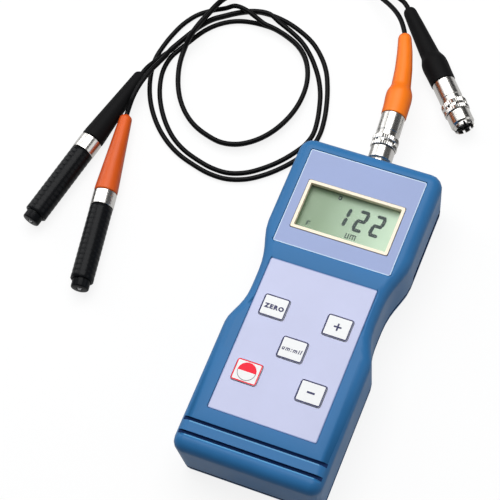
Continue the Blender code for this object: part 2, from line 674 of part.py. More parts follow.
def key_holes(name, bottom, top):
    """Five openings for the key caps, as one cutter."""
    bm = bmesh.new()
    for place in KEY_PLACES.values():
        size = (KEY_WIDTH + 2 * CLEARANCE, KEY_HEIGHT + 2 * CLEARANCE)
        stack(bm, [rounded_rectangle(place, size, KEY_CORNER + CLEARANCE, z) for z in (bottom, top)])
    return to_object(name, bm)


def foot_grooves():
    """Two grooves that run out over the rounded sides."""
    return [box(f"foot_groove_{number}",
                (-HALF_WIDTH - 0.001, y - FOOT_GROOVE_WIDTH / 2, BODY_HEIGHT - FOOT_GROOVE_DEPTH),
                (HALF_WIDTH + 0.001, y + FOOT_GROOVE_WIDTH / 2, BODY_HEIGHT + 0.001))
            for number, y in enumerate(FOOT_GROOVES)]


def side_grooves():
    """A slot above the seam on each side of the head, with a tail that rises at its end."""
    low = LEDGE_Z
    high = FRONT_RIM_Z + SIDE_GROOVE_WIDTH
    shape = [(SIDE_GROOVE_START, low), (SIDE_GROOVE_END, low),
             (SIDE_GROOVE_END + SIDE_GROOVE_TAIL_LEAN, low + SIDE_GROOVE_TAIL),
             (SIDE_GROOVE_END - SIDE_GROOVE_TAIL_ROOT, high),
             (SIDE_GROOVE_START + SIDE_GROOVE_END_SLANT, high)]
    inner = HALF_WIDTH - wall_taper(FRONT_RIM_Z) - SIDE_GROOVE_DEPTH
    slots = []
    for side in (-1, 1):
        rings = [[(side * x, y, z) for y, z in shape] for x in (inner, HALF_WIDTH + 0.002)]
        slots.append(stacked(f"side_groove_{side + 1}", rings))
    return slots


def rear_shell(name):
    """Outer form of the rear cover, used for the cover and for its sliding door."""
    taper = wall_taper(REAR_EDGE)
    rings = [outline(taper + REAR_EDGE, 0.0)]
    rings += edge_round(REAR_EDGE, taper, 0.0, -1)
    rings.append(outline(wall_taper(REAR_COVER_HEIGHT), REAR_COVER_HEIGHT))
    return name, rings


def rear_cover():
    """The shallow back with its tongue, battery bay, door channel and screw posts."""
    name, rings = rear_shell("rear_cover")
    taper = wall_taper(REAR_COVER_HEIGHT)
    tongue_inset = taper + SIDE_WALL + CLEARANCE
    rings.append(outline(taper + SEAM_DEPTH, REAR_COVER_HEIGHT))
    rings.append(outline(taper + SEAM_DEPTH, LEDGE_Z))
    rings.append(outline(tongue_inset, LEDGE_Z))
    rings.append(outline(tongue_inset, FRONT_RIM_Z + TONGUE_HEIGHT - CLEARANCE))
    cover = stacked(name, rings)
    cut(cover, stacked("rear_hollow", [
        outline(tongue_inset + TONGUE_WALL, REAR_FLOOR),
        outline(tongue_inset + TONGUE_WALL, FRONT_RIM_Z + TONGUE_HEIGHT + 0.001),
    ]))
    wall = BAY_WALL
    join(cover, box("bay_walls", (-BAY_HALF_WIDTH - wall, BAY_FOOT - wall, REAR_FLOOR / 2),
                    (BAY_HALF_WIDTH + wall, BAY_HEAD + wall, BAY_CEILING_Z + wall)))
    join(cover, rods("screw_posts", CASE_SCREW_PLACES, BOSS_RADIUS + 0.0002, REAR_FLOOR / 2,
                     FRONT_RIM_Z + TONGUE_HEIGHT - CLEARANCE))
    cut(cover, box("bay", (-BAY_HALF_WIDTH, BAY_FOOT, -0.001),
                   (BAY_HALF_WIDTH, BAY_HEAD, BAY_CEILING_Z)))
    cut(cover, door_form("door_channel", CLEARANCE))
    cut(cover, rods("screw_clearance", CASE_SCREW_PLACES, CASE_SCREW_RADIUS + CLEARANCE,
                    -0.001, FRONT_RIM_Z + TONGUE_HEIGHT, 8))
    cut(cover, rods("screw_counterbore", CASE_SCREW_PLACES, CASE_SCREW_HEAD_RADIUS + CLEARANCE,
                    -0.001, CASE_SCREW_SINK + CASE_SCREW_HEAD_HEIGHT + CLEARANCE))
    hole = axis_frame((0.0, SOCKET_WALL_Y, SOCKET_Z), 90.0)
    cut(cover, rods("socket_room", [(0.0, 0.0)], SOCKET_FLANGE_RADIUS + CLEARANCE,
                    -SOCKET_TAIL, 0.0, 20, hole))
    return to_part(cover, BLUE, 0.42)


def door_form(name, gap):
    """A T section along Y: the door's plate and its two sliding flanges, grown by gap."""
    plate = DOOR_HALF_WIDTH + gap
    flange = DOOR_HALF_WIDTH + DOOR_FLANGE + gap
    ledge = DOOR_LEDGE + CLEARANCE - gap
    top = DOOR_THICKNESS + gap
    section = [(-plate, -0.001), (plate, -0.001), (plate, ledge), (flange, ledge),
               (flange, top), (-flange, top), (-flange, ledge), (-plate, ledge)]
    ends = (-HALF_LENGTH - 0.001, DOOR_HEAD + gap)
    return stacked(name, [[(x, y, z) for x, z in section] for y in ends])


def battery_cover():
    """The sliding door: the back's own form inside the T section, with grip grooves."""
    name, rings = rear_shell("battery_cover")
    door = stacked(name, rings)
    boolean(door, door_form("door_envelope", 0.0), "INTERSECT")
    bm = bmesh.new()
    for rib in range(DOOR_GRIP_RIBS):
        y = DOOR_HEAD - 0.006 - rib * DOOR_GRIP_PITCH
        add_block(bm, (-0.009, y - 0.0005, -0.001), (0.009, y + 0.0005, DOOR_GRIP_DEPTH))
    cut(door, to_object("door_grip", bm))
    return to_part(door, BLUE, 0.42)


def labels():
    """Two printed overlays, one round the display and one round the keys."""
    display, keypad = label_sizes()
    for name, width, foot, head in (display, keypad):
        label = slab(name, (0.0, (foot + head) / 2), (width, head - foot), LABEL_CORNER,
                     LABEL_BACK_Z, LABEL_TOP_Z)
        if name == "display_label":
            cut(label, slab("label_window", (0.0, DISPLAY_Y),
                            (BEZEL_WIDTH + 2 * CLEARANCE, BEZEL_HEIGHT + 2 * CLEARANCE),
                            LABEL_CORNER, LABEL_BACK_Z - 0.001, LABEL_TOP_Z + 0.001))
            to_part(label, LILAC, 0.35)
        else:
            cut(label, key_holes("label_key_holes", LABEL_BACK_Z - 0.001, LABEL_TOP_Z + 0.001))
            to_part(label, PALE_LILAC, 0.35)


def display():
    """Bezel with its flange, window, LCD glass, holder and contact strips."""
    centre = (0.0, DISPLAY_Y)
    outer = (BEZEL_WIDTH, BEZEL_HEIGHT)
    flange = (BEZEL_WIDTH + 2 * BEZEL_FLANGE, BEZEL_HEIGHT + 2 * BEZEL_FLANGE)
    bezel = stacked("display_bezel", [
        rounded_rectangle(centre, flange, LABEL_CORNER, FLANGE_BACK_Z),
        rounded_rectangle(centre, flange, LABEL_CORNER, FLANGE_TOP_Z),
        rounded_rectangle(centre, outer, LABEL_CORNER, FLANGE_TOP_Z),
        rounded_rectangle(centre, outer, LABEL_CORNER, BODY_HEIGHT),
    ])
    sight = (BEZEL_WIDTH - 2 * BEZEL_BORDER, BEZEL_HEIGHT - 2 * BEZEL_BORDER)
    pocket = (sight[0] + 2 * WINDOW_REST, sight[1] + 2 * WINDOW_REST)
    cut(bezel, slab("bezel_sight", centre, sight, LABEL_CORNER / 2, FLANGE_BACK_Z - 0.001,
                    BODY_HEIGHT + 0.001))
    cut(bezel, slab("window_pocket", centre, (pocket[0] + 2 * CLEARANCE, pocket[1] + 2 * CLEARANCE),
                    LABEL_CORNER / 2, FLANGE_BACK_Z - 0.001,
                    FLANGE_BACK_Z + WINDOW_THICKNESS + CLEARANCE))
    to_part(bezel, CREAM, 0.4)
    to_part(slab("display_window", centre, pocket, LABEL_CORNER / 2, FLANGE_BACK_Z,
                 FLANGE_BACK_Z + WINDOW_THICKNESS), GLASS, 0.05)
    to_part(slab("lcd_panel", centre, (LCD_WIDTH, LCD_HEIGHT), 0.0003, LCD_BACK_Z, LCD_TOP_Z, 1),
            LCD_GREEN, 0.25)
    cavity = (LCD_WIDTH + 2 * CLEARANCE, LCD_HEIGHT + 2 * CLEARANCE)
    holder = slab("lcd_holder", centre,
                  (cavity[0] + 2 * LCD_HOLDER_WALL, cavity[1] + 2 * LCD_HOLDER_WALL),
                  0.001, BOARD_TOP_Z + CLEARANCE, LCD_TOP_Z + CLEARANCE)
    cut(holder, slab("lcd_cavity", centre, cavity, 0.0004, BOARD_TOP_Z - 0.001,
                     LCD_TOP_Z + 0.001, 1))
    to_part(holder, GREY, 0.5)
    for number, side in enumerate((-1, 1), start=1):
        y = DISPLAY_Y + side * (LCD_HEIGHT / 2 - STRIP_WIDTH / 2 - CLEARANCE)
        strip = box(f"contact_strip_{number}",
                    (-STRIP_LENGTH / 2, y - STRIP_WIDTH / 2, BOARD_TOP_Z + CLEARANCE),
                    (STRIP_LENGTH / 2, y + STRIP_WIDTH / 2, LCD_BACK_Z - CLEARANCE))
        to_part(strip, GREY, 0.7)


def keys():
    """Five caps that rise through the label on a hidden flange, each on its own origin."""
    for name, place in KEY_PLACES.items():
        cap = (KEY_WIDTH, KEY_HEIGHT)
        flange = (KEY_WIDTH + 2 * KEY_FLANGE, KEY_HEIGHT + 2 * KEY_FLANGE)
        top = LABEL_TOP_Z + KEY_RISE
        levels = ((flange, KEY_FLANGE_BACK_Z), (flange, FLANGE_TOP_Z), (cap, FLANGE_TOP_Z),
                  (cap, top - 0.0002), ((cap[0] - 0.0004, cap[1] - 0.0004), top))
        rings = [rounded_rectangle((0.0, 0.0), size, KEY_CORNER, z - top) for size, z in levels]
        key = stacked(name, rings, Matrix.Translation((*place, top)))
        to_part(key, WHITE, 0.45)


def circuit_board():
    """The board with the switches and chips soldered to it, and its screws."""
    board = slab("circuit_board", (0.0, (BOARD_FOOT + BOARD_HEAD) / 2),
                 (BOARD_WIDTH, BOARD_HEAD - BOARD_FOOT), 0.002, BOARD_BACK_Z, BOARD_TOP_Z)
    cut(board, rods("board_holes", BOARD_POSTS, BOARD_SCREW_RADIUS + CLEARANCE,
                    BOARD_BACK_Z - 0.001, BOARD_TOP_Z + 0.001, 8))
    switches = bmesh.new()
    half = SWITCH_SIZE / 2
    for x, y in KEY_PLACES.values():
        add_block(switches, (x - half, y - half, BOARD_TOP_Z - 0.0004),
                  (x + half, y + half, BOARD_TOP_Z + SWITCH_BODY))
    buttons = rods("switch_buttons", KEY_PLACES.values(), SWITCH_BUTTON_RADIUS,
                   BOARD_TOP_Z + SWITCH_BODY - 0.0005, SWITCH_TOP_Z, 8)
    chips = bmesh.new()
    for centre, size, height in CHIPS:
        add_block(chips, (centre[0] - size[0] / 2, centre[1] - size[1] / 2, BOARD_BACK_Z - height),
                  (centre[0] + size[0] / 2, centre[1] + size[1] / 2, BOARD_BACK_Z + 0.0004))
    join(board, to_object("switch_bodies", switches), buttons, to_object("chips", chips))
    to_part(board, BOARD_GREEN, 0.45)
    for number, place in enumerate(BOARD_POSTS, start=1):
        origin = Matrix.Translation((*place, BOARD_BACK_Z - CLEARANCE))
        screw = stacked(f"board_screw_{number}",
                        screw_rings(0.0019, 0.0013, BOARD_SCREW_RADIUS, BOARD_SCREW_LENGTH), origin)
        to_part(screw, STEEL, 0.3, 1.0)


def screw_rings(head_radius, head_height, shank_radius, length, sides=10):
    """Rings of a screw pointing up: a rounded head below local zero and a shank above."""
    levels = ((0.6 * head_radius, -head_height), (head_radius, -0.5 * head_height),
              (head_radius, 0.0), (shank_radius, 0.0), (shank_radius, length - shank_radius),
              (0.3 * shank_radius, length))
    turns = [2 * math.pi * side / sides for side in range(sides)]
    return [[(radius * math.cos(turn), radius * math.sin(turn), height) for turn in turns]
            for radius, height in levels]


def case_screws():
    """Four screws sunk in the back, each with a cross slot."""
    for number, place in enumerate(CASE_SCREW_PLACES, start=1):
        origin = Matrix.Translation((*place, CASE_SCREW_SINK + CASE_SCREW_HEAD_HEIGHT))
        screw = stacked(f"case_screw_{number}",
                        screw_rings(CASE_SCREW_HEAD_RADIUS, CASE_SCREW_HEAD_HEIGHT,
                                    CASE_SCREW_RADIUS, CASE_SCREW_LENGTH), origin)
        for half_x, half_y in ((0.0013, SCREW_SLOT / 2), (SCREW_SLOT / 2, 0.0013)):
            cut(screw, box(f"screw_slot_{number}", (place[0] - half_x, place[1] - half_y, 0.0),
                           (place[0] + half_x, place[1] + half_y, CASE_SCREW_SINK + 0.0006)))
        to_part(screw, STEEL, 0.3, 1.0)


def battery_x(number):
    return (number - (BATTERY_COUNT - 1) / 2) * BATTERY_PITCH


def batteries():
    """Four cells side by side, every second one turned about."""
    profile = [(0.0, BATTERY_SPAN), (BATTERY_CAP_RADIUS, BATTERY_SPAN),
               (BATTERY_CAP_RADIUS, BATTERY_LENGTH), (BATTERY_RADIUS - 0.0004, BATTERY_LENGTH),
               (BATTERY_RADIUS, BATTERY_LENGTH - 0.0004), (BATTERY_RADIUS, 0.0004),
               (BATTERY_RADIUS - 0.0004, 0.0), (0.0, 0.0)]
    for number in range(BATTERY_COUNT):
        spring_end = CONTACT_SPACE + SPRING_LENGTH + CLEARANCE
        if number % 2:
            place = axis_frame((battery_x(number), BAY_HEAD - spring_end, BATTERY_AXIS_Z), -90.0)
        else:
            place = axis_frame((battery_x(number), BAY_FOOT + spring_end, BATTERY_AXIS_Z), 90.0)
        cell = turned(f"battery_{number + 1}", profile, 16, place)
        to_part(cell, CELL_RED, 0.35)


def battery_contacts():
    """Sprung plates that put the cells in series, on both end walls of the bay."""
    groups = (((0,), 1), ((1, 2), 1), ((3,), 1), ((0, 1), -1), ((2, 3), -1))
    half = CONTACT_SIZE / 2
    for number, (cells, side) in enumerate(groups, start=1):
        wall = BAY_FOOT if side > 0 else BAY_HEAD
        back = wall + side * CLEARANCE
        front = back + side * CONTACT_THICKNESS
        plate = box(f"battery_contact_{number}",
                    (battery_x(cells[0]) - half, min(back, front), BATTERY_AXIS_Z - half),
                    (battery_x(cells[-1]) + half, max(back, front), BATTERY_AXIS_Z + half))
        for cell in cells:
            if (cell % 2 == 0) == (side > 0):
                coil = bmesh.new()
                add_coil(coil, SPRING_RADIUS, SPRING_WIRE, SPRING_LENGTH + 0.0002, 2.25)
                base = axis_frame((battery_x(cell), front - side * 0.0002, BATTERY_AXIS_Z),
                                  90.0 * side)
                join(plate, to_object(f"contact_spring_{cell + 1}", coil, base))
        to_part(plate, STEEL, 0.3, 1.0)


def add_coil(bm, radius, wire, length, turns, around=8, sides=4):
    """A helical spring about local Z, swept as rings of points along its wire."""
    steps = int(turns * around)
    pitch = (length - wire) / steps
    rings = []
    for step in range(steps + 1):
        angle = 2 * math.pi * step / around
        out = Vector((math.cos(angle), math.sin(angle), 0.0))
        centre = out * radius + Vector((0.0, 0.0, wire / 2 + pitch * step))
        ring = []
        for side in range(sides):
            turn = 2 * math.pi * side / sides
            offset = out * math.cos(turn) + Vector((0.0, 0.0, math.sin(turn)))
            ring.append(centre + offset * wire / 2)
        rings.append(ring)
    stack(bm, rings)


def socket():
    """The panel socket: threaded barrel, outer nut, insulating insert and contacts."""
    place = axis_frame((0.0, SOCKET_FACE_Y, SOCKET_Z), -90.0)
    wall_back = SOCKET_REACH + SIDE_WALL + 0.0007
    tail = wall_back + SOCKET_FLANGE + SOCKET_TAIL
    barrel = turned("probe_socket", [
        (SOCKET_BORE_RADIUS, SOCKET_BORE_DEPTH), (SOCKET_BORE_RADIUS, 0.0),
        (SOCKET_RADIUS - 0.0002, 0.0), (SOCKET_RADIUS, 0.0004), (SOCKET_RADIUS, wall_back),
        (SOCKET_FLANGE_RADIUS, wall_back), (SOCKET_FLANGE_RADIUS, wall_back + SOCKET_FLANGE),
        (SOCKET_RADIUS, wall_back + SOCKET_FLANGE), (SOCKET_RADIUS, tail),
        (SOCKET_BORE_RADIUS - 0.001, tail), (SOCKET_BORE_RADIUS - 0.001, SOCKET_BORE_DEPTH),
    ][::-1], 20, place, hollow=True)
    to_part(barrel, CHROME, 0.2, 1.0)
    corner = NUT_ACROSS_FLATS / 2 / math.cos(math.pi / 6)
    nut_low = SOCKET_REACH - CLEARANCE - NUT_THICKNESS
    rings = [[(corner * scale * math.cos(math.pi * side / 3 + math.pi / 6),
               corner * scale * math.sin(math.pi * side / 3 + math.pi / 6), z)
              for side in range(6)]
             for scale, z in ((0.94, nut_low), (1.0, nut_low + 0.0004),
                              (1.0, nut_low + NUT_THICKNESS))]
    nut = stacked("socket_nut", rings, place)
    cut(nut, rods("nut_hole", [(0.0, 0.0)], SOCKET_RADIUS + CLEARANCE,
                  nut_low - CLEARANCE, SOCKET_REACH, 20, place))
    to_part(nut, CHROME, 0.25, 1.0)
    insert_radius = SOCKET_BORE_RADIUS - CLEARANCE
    insert_start = SOCKET_BORE_DEPTH - CLEARANCE - 0.003
    insert = turned("socket_insert", [
        (0.0, insert_start), (insert_radius, insert_start),
        (insert_radius, SOCKET_BORE_DEPTH - CLEARANCE),
        (insert_radius - 0.001, SOCKET_BORE_DEPTH - CLEARANCE),
        (insert_radius - 0.001, tail - 0.001), (0.0, tail - 0.001),
    ][::-1], 16, place)
    cut(insert, rods("socket_contact_holes", pin_centres(), PIN_RADIUS + CLEARANCE,
                     insert_start - 0.001, insert_start + 0.0022, 6, place))
    join(insert, rods("socket_contact_tails", pin_centres(), 0.0008, tail - 0.0015, tail + 0.002,
                      8, place))
    to_part(insert, BLACK, 0.5)


def pin_centres():
    return [(PIN_CIRCLE * math.cos(math.pi / 4 + 2 * math.pi * pin / PIN_COUNT),
             PIN_CIRCLE * math.sin(math.pi / 4 + 2 * math.pi * pin / PIN_COUNT))
            for pin in range(PIN_COUNT)]


def plug(colour_name, place):
    """Metal shell with a slotted collet, sliding lock ring, insert and pins."""
    nose = PLUG_COLLET_LENGTH
    ring = nose + PLUG_NOSE_LENGTH
    ring_stop = PLUG_RING_START + RING_LENGTH + RING_TRAVEL
    end = PLUG_BOOT_START
    tail = end + PLUG_TAIL_LENGTH
    shell = turned(f"plug_shell_{colour_name}", [
        (PLUG_TAIL_RADIUS, tail), (PLUG_TAIL_RADIUS, end - CLEARANCE),
        (PLUG_BODY_RADIUS, end - CLEARANCE), (PLUG_BODY_RADIUS, ring_stop),
        (PLUG_SHELL_RADIUS, ring_stop), (PLUG_SHELL_RADIUS, ring),
        (PLUG_NOSE_RADIUS, ring), (PLUG_NOSE_RADIUS, nose + 0.0007),
        (PLUG_NOSE_RADIUS - 0.0006, nose), (PLUG_COLLET_RADIUS, nose),
        (PLUG_COLLET_RADIUS, 0.0002), (PLUG_COLLET_RADIUS - 0.0002, 0.0), (PLUG_SHELL_BORE, 0.0),
        (PLUG_SHELL_BORE, PLUG_BORE_DEPTH), (PLUG_TAIL_BORE, PLUG_BORE_DEPTH),
        (PLUG_TAIL_BORE, tail),
    ], 18, place, hollow=True)
    for slot in range(PLUG_SLOTS):
        turn = place @ Matrix.Rotation(math.pi * slot / PLUG_SLOTS, 4, "Z")
        bm = bmesh.new()
        add_block(bm, (-PLUG_NOSE_RADIUS, -PLUG_SLOT_WIDTH / 2, -0.001),
                  (PLUG_NOSE_RADIUS, PLUG_SLOT_WIDTH / 2, nose - 0.0002))
        cut(shell, to_object(f"collet_slot_{colour_name}_{slot}", bm, turn))
    to_part(shell, CHROME, 0.18, 1.0)
    lock_ring(f"plug_ring_{colour_name}", place)
    insert = turned(f"plug_insert_{colour_name}", [
        (0.0, PLUG_BORE_DEPTH - CLEARANCE), (PLUG_INSERT_RADIUS, PLUG_BORE_DEPTH - CLEARANCE),
        (PLUG_INSERT_RADIUS, PLUG_INSERT_DEPTH), (0.0, PLUG_INSERT_DEPTH),
    ], 16, place)
    join(insert, rods(f"plug_pins_{colour_name}", pin_centres(), PIN_RADIUS, 0.0006,
                      PLUG_INSERT_DEPTH + 0.002, 6, place))
    to_part(insert, BLACK, 0.5)


def lock_ring(name, place):
    """Two straight-knurled bands and the groove between them, on their own origin."""
    count = 2 * KNURL_TEETH

    def knurl(radius, z, toothed=True):
        depth = KNURL_DEPTH if toothed else 0.0
        return [((radius - depth * (side % 2)) * math.cos(2 * math.pi * side / count),
                 (radius - depth * (side % 2)) * math.sin(2 * math.pi * side / count), z)
                for side in range(count)]

    length = RING_LENGTH - CLEARANCE
    groove_end = length - RING_BAND - 0.0004
    rings = [
        knurl(RING_RADIUS - 0.0004, 0.0), knurl(RING_RADIUS, 0.0004), knurl(RING_RADIUS, RING_BAND),
        knurl(RING_GROOVE_RADIUS, RING_BAND, False),
        knurl(RING_GROOVE_RADIUS, groove_end, False),
        knurl(RING_RADIUS, groove_end), knurl(RING_RADIUS, length - 0.0004),
        knurl(RING_RADIUS - 0.0004, length),
    ]
    origin = place @ Matrix.Translation((0.0, 0.0, PLUG_RING_START))
    ring = stacked(name, rings, origin)
    cut(ring, rods(f"{name}_bore", [(0.0, 0.0)], RING_BORE_RADIUS, -0.001, length + 0.001, 18,
                   origin))
    to_part(ring, CHROME, 0.22, 1.0)


def boot_profile():
    """(distance, radius) along a plug's rubber boot: cuff, bulge, shoulder, long neck."""
    return ((0.0, 0.0059), (0.0003, 0.00605), (0.0055, 0.00618), (0.0095, PLUG_BOOT_RADIUS),
            (0.0125, 0.0062), (0.0162, 0.0047), (0.0180, 0.00446), (0.026, 0.0042),
            (0.036, 0.0037), (0.0428, 0.00325), (0.0446, 0.00275), (PLUG_BOOT_LENGTH, 0.0019))


def plug_boot(name, place, sweep, colour):
    """A boot lofted along an arc that bends sideways by sweep degrees."""
    sides = 16
    rings = []
    for distance, radius in boot_profile():
        frame = bend_frame(distance, math.radians(sweep))
        rings.append([frame @ Vector((radius * math.cos(2 * math.pi * side / sides),
                                      radius * math.sin(2 * math.pi * side / sides), 0.0))
                      for side in range(sides)])
    boot = stacked(name, rings, place @ Matrix.Translation((0.0, 0.0, PLUG_BOOT_START)))
    hollow = place @ Matrix.Translation((0.0, 0.0, PLUG_BOOT_START))
    cut(boot, rods(f"{name}_seat", [(0.0, 0.0)], PLUG_TAIL_RADIUS + CLEARANCE, -0.001,
                   PLUG_TAIL_LENGTH + CLEARANCE, 16, hollow))
    return to_part(boot, colour, 0.55)


def bend_frame(distance, sweep):
    """The frame at a distance along an arc that leaves local Z and bends towards +X."""
    if abs(sweep) < 1e-6:
        return Matrix.Translation((0.0, 0.0, distance))
    angle = sweep * distance / PLUG_BOOT_LENGTH
    radius = PLUG_BOOT_LENGTH / sweep
    centre = Vector((radius * (1 - math.cos(angle)), 0.0, radius * math.sin(angle)))
    return Matrix.Translation(centre) @ Matrix.Rotation(angle, 4, "Y")


def plug_boot_tip(place, sweep):
    """The frame on the boot's small end, pointing out along the cable."""
    base = place @ Matrix.Translation((0.0, 0.0, PLUG_BOOT_START))
    return base @ bend_frame(PLUG_BOOT_LENGTH, math.radians(sweep))


def probe(colour_name, place, boot_colour):
    """Sensing head on its spring, ribbed grip, chromed band and rubber boot."""
    head = turned(f"probe_head_{colour_name}", [
        (0.0, HEAD_END), (PROBE_HEAD_RADIUS, HEAD_END), (PROBE_HEAD_RADIUS, 0.0005),
        (PROBE_HEAD_RADIUS - 0.0005, 0.0), (PROBE_TIP_RADIUS + CLEARANCE, 0.0),
        (PROBE_TIP_RADIUS + CLEARANCE, 0.0025), (0.0, 0.0025),
    ], 16, place)
    to_part(head, BLACK, 0.35)
    tip = turned(f"probe_tip_{colour_name}", [
        (0.0, 0.0022), (PROBE_TIP_RADIUS, 0.0022), (PROBE_TIP_RADIUS, 0.0004),
        (0.6 * PROBE_TIP_RADIUS, -0.7 * PROBE_TIP_REACH), (0.0, -PROBE_TIP_REACH),
    ], 10, place)
    to_part(tip, STEEL, 0.1, 1.0)
    grip = turned(f"probe_grip_{colour_name}", grip_profile(), 14, place, hollow=True)
    to_part(grip, BLACK, 0.4)
    coil = bmesh.new()
    add_coil(coil, HEAD_SPRING_RADIUS, HEAD_SPRING_WIRE, HEAD_SPRING_LENGTH, 4.5)
    start = place @ Matrix.Translation((0.0, 0.0, HEAD_END + CLEARANCE))
    to_part(to_object(f"probe_spring_{colour_name}", coil, start), STEEL, 0.3, 1.0)
    band_bore = PROBE_BAND_RADIUS - PROBE_BAND_WALL
    band = turned(f"probe_band_{colour_name}", [
        (PROBE_BAND_RADIUS - 0.0002, BAND_END), (PROBE_BAND_RADIUS, BAND_END - 0.0002),
        (PROBE_BAND_RADIUS, BAND_START + 0.0002), (PROBE_BAND_RADIUS - 0.0002, BAND_START),
        (band_bore, BAND_START), (band_bore, BAND_END),
    ], 20, place, hollow=True)
    to_part(band, CHROME, 0.12, 1.0)
    boot = turned(f"probe_boot_{colour_name}", probe_boot_profile(band_bore), 20, place)
    to_part(boot, boot_colour, 0.5)


def grip_profile():
    """Down the outside of the grip from its band end, then back up its stepped bore."""
    margin = (PROBE_GRIP_LENGTH - (GRIP_GROOVES - 1) * GRIP_GROOVE_PITCH) / 2
    points = [(PROBE_GRIP_RADIUS - 0.0002, GRIP_END), (PROBE_GRIP_RADIUS, GRIP_END - 0.0002)]
    for groove in reversed(range(GRIP_GROOVES)):
        middle = GRIP_START + margin + groove * GRIP_GROOVE_PITCH
        points += [(PROBE_GRIP_RADIUS, middle + GRIP_GROOVE_WIDTH / 2),
                   (PROBE_GRIP_RADIUS - GRIP_GROOVE_DEPTH, middle),
                   (PROBE_GRIP_RADIUS, middle - GRIP_GROOVE_WIDTH / 2)]
    points += [(PROBE_GRIP_RADIUS, GRIP_START + 0.0004),
               (PROBE_GRIP_RADIUS - 0.0004, GRIP_START), (GRIP_BORE_RADIUS, GRIP_START),
               (GRIP_BORE_RADIUS, GRIP_BORE_END), (0.002, GRIP_BORE_END), (0.002, GRIP_END)]
    return points


def probe_boot_profile(band_bore):
    """Down the boot from its small end to the spigot that seats inside the band."""
    spigot = band_bore - CLEARANCE
    end = PROBE_BOOT_END
    span = PROBE_BOOT_LENGTH
    slope = (PROBE_BOOT_ROOT - PROBE_BOOT_TIP) / span
    return [(0.0, end), (PROBE_BOOT_TIP - 0.0013, end), (PROBE_BOOT_TIP - 0.0004, end - 0.0006),
            (PROBE_BOOT_TIP, end - 0.0018), (PROBE_BOOT_TIP + slope * span / 2, end - span / 2),
            (PROBE_BOOT_ROOT - 0.0001, PROBE_BOOT_START + 0.003),
            (PROBE_BOOT_ROOT, PROBE_BOOT_START), (spigot, PROBE_BOOT_START),
            (spigot, BAND_START + 0.0015), (0.0, BAND_START + 0.0015)]


def smooth_points(route):
    """Points at even spacing on a smooth curve through the route's own points."""
    padded = [2 * route[0] - route[1], *route, 2 * route[-1] - route[-2]]
    fine = []
    for before, start, end, after in zip(padded, padded[1:], padded[2:], padded[3:]):
        spans = [max(math.sqrt((b - a).length), 1e-9)
                 for a, b in ((before, start), (start, end), (end, after))]
        knots = [0.0, spans[0], spans[0] + spans[1], sum(spans)]
        for step in range(16):
            at = knots[1] + spans[1] * step / 16
            fine.append(blend_four((before, start, end, after), knots, at))
    fine.append(route[-1])
    return even_points(fine, CABLE_SPANS)


def blend_four(corners, knots, at):
    """Centripetal blend of four points."""
    level = list(corners)
    for depth in (1, 2):
        level = [mix(level[i], level[i + 1], knots[i], knots[i + depth], at)
                 for i in range(len(level) - 1)]
    return mix(level[0], level[1], knots[1], knots[2], at)


def mix(first, second, low, high, at):
    share = (at - low) / (high - low)
    return first * (1 - share) + second * share


def even_points(fine, spans):
    """Resample a fine line into equal spans."""
    reach = [0.0]
    for first, second in zip(fine, fine[1:]):
        reach.append(reach[-1] + (second - first).length)
    points = []
    index = 0
    for step in range(spans + 1):
        target = reach[-1] * step / spans
        while index < len(fine) - 2 and reach[index + 1] < target:
            index += 1
        share = (target - reach[index]) / (reach[index + 1] - reach[index])
        points.append(fine[index].lerp(fine[index + 1], min(share, 1.0)))
    return points


def cable(name, route, start, end):
    """A round cable as a curve with bevel depth, square to the boots at both ends."""
    ahead = Vector((0.0, 0.0, CLEARANCE + CABLE_LEAD))
    middle = [Vector(point) / 1000 for point in route]
    points = smooth_points([start @ ahead, *middle, end @ ahead])
    gap = Vector((0.0, 0.0, CLEARANCE))
    points = [start @ gap, *points, end @ gap]
    curve = bpy.data.curves.new(name, "CURVE")
    curve.dimensions = "3D"
    curve.bevel_depth = CABLE_RADIUS
    curve.bevel_resolution = 2
    curve.use_fill_caps = True
    spline = curve.splines.new("POLY")
    spline.points.add(len(points) - 1)
    for point, place in zip(spline.points, points):
        point.co = (*place, 1.0)
    item = bpy.data.objects.new(name, curve)
    bpy.data.collections[CUTTERS].objects.link(item)
    return to_part(item, BLACK, 0.45)


def raised(route):
    """The same route for a cable that rides on the other one."""
    return [tuple(value + lift for value, lift in zip(point, RAISE)) for point in route]


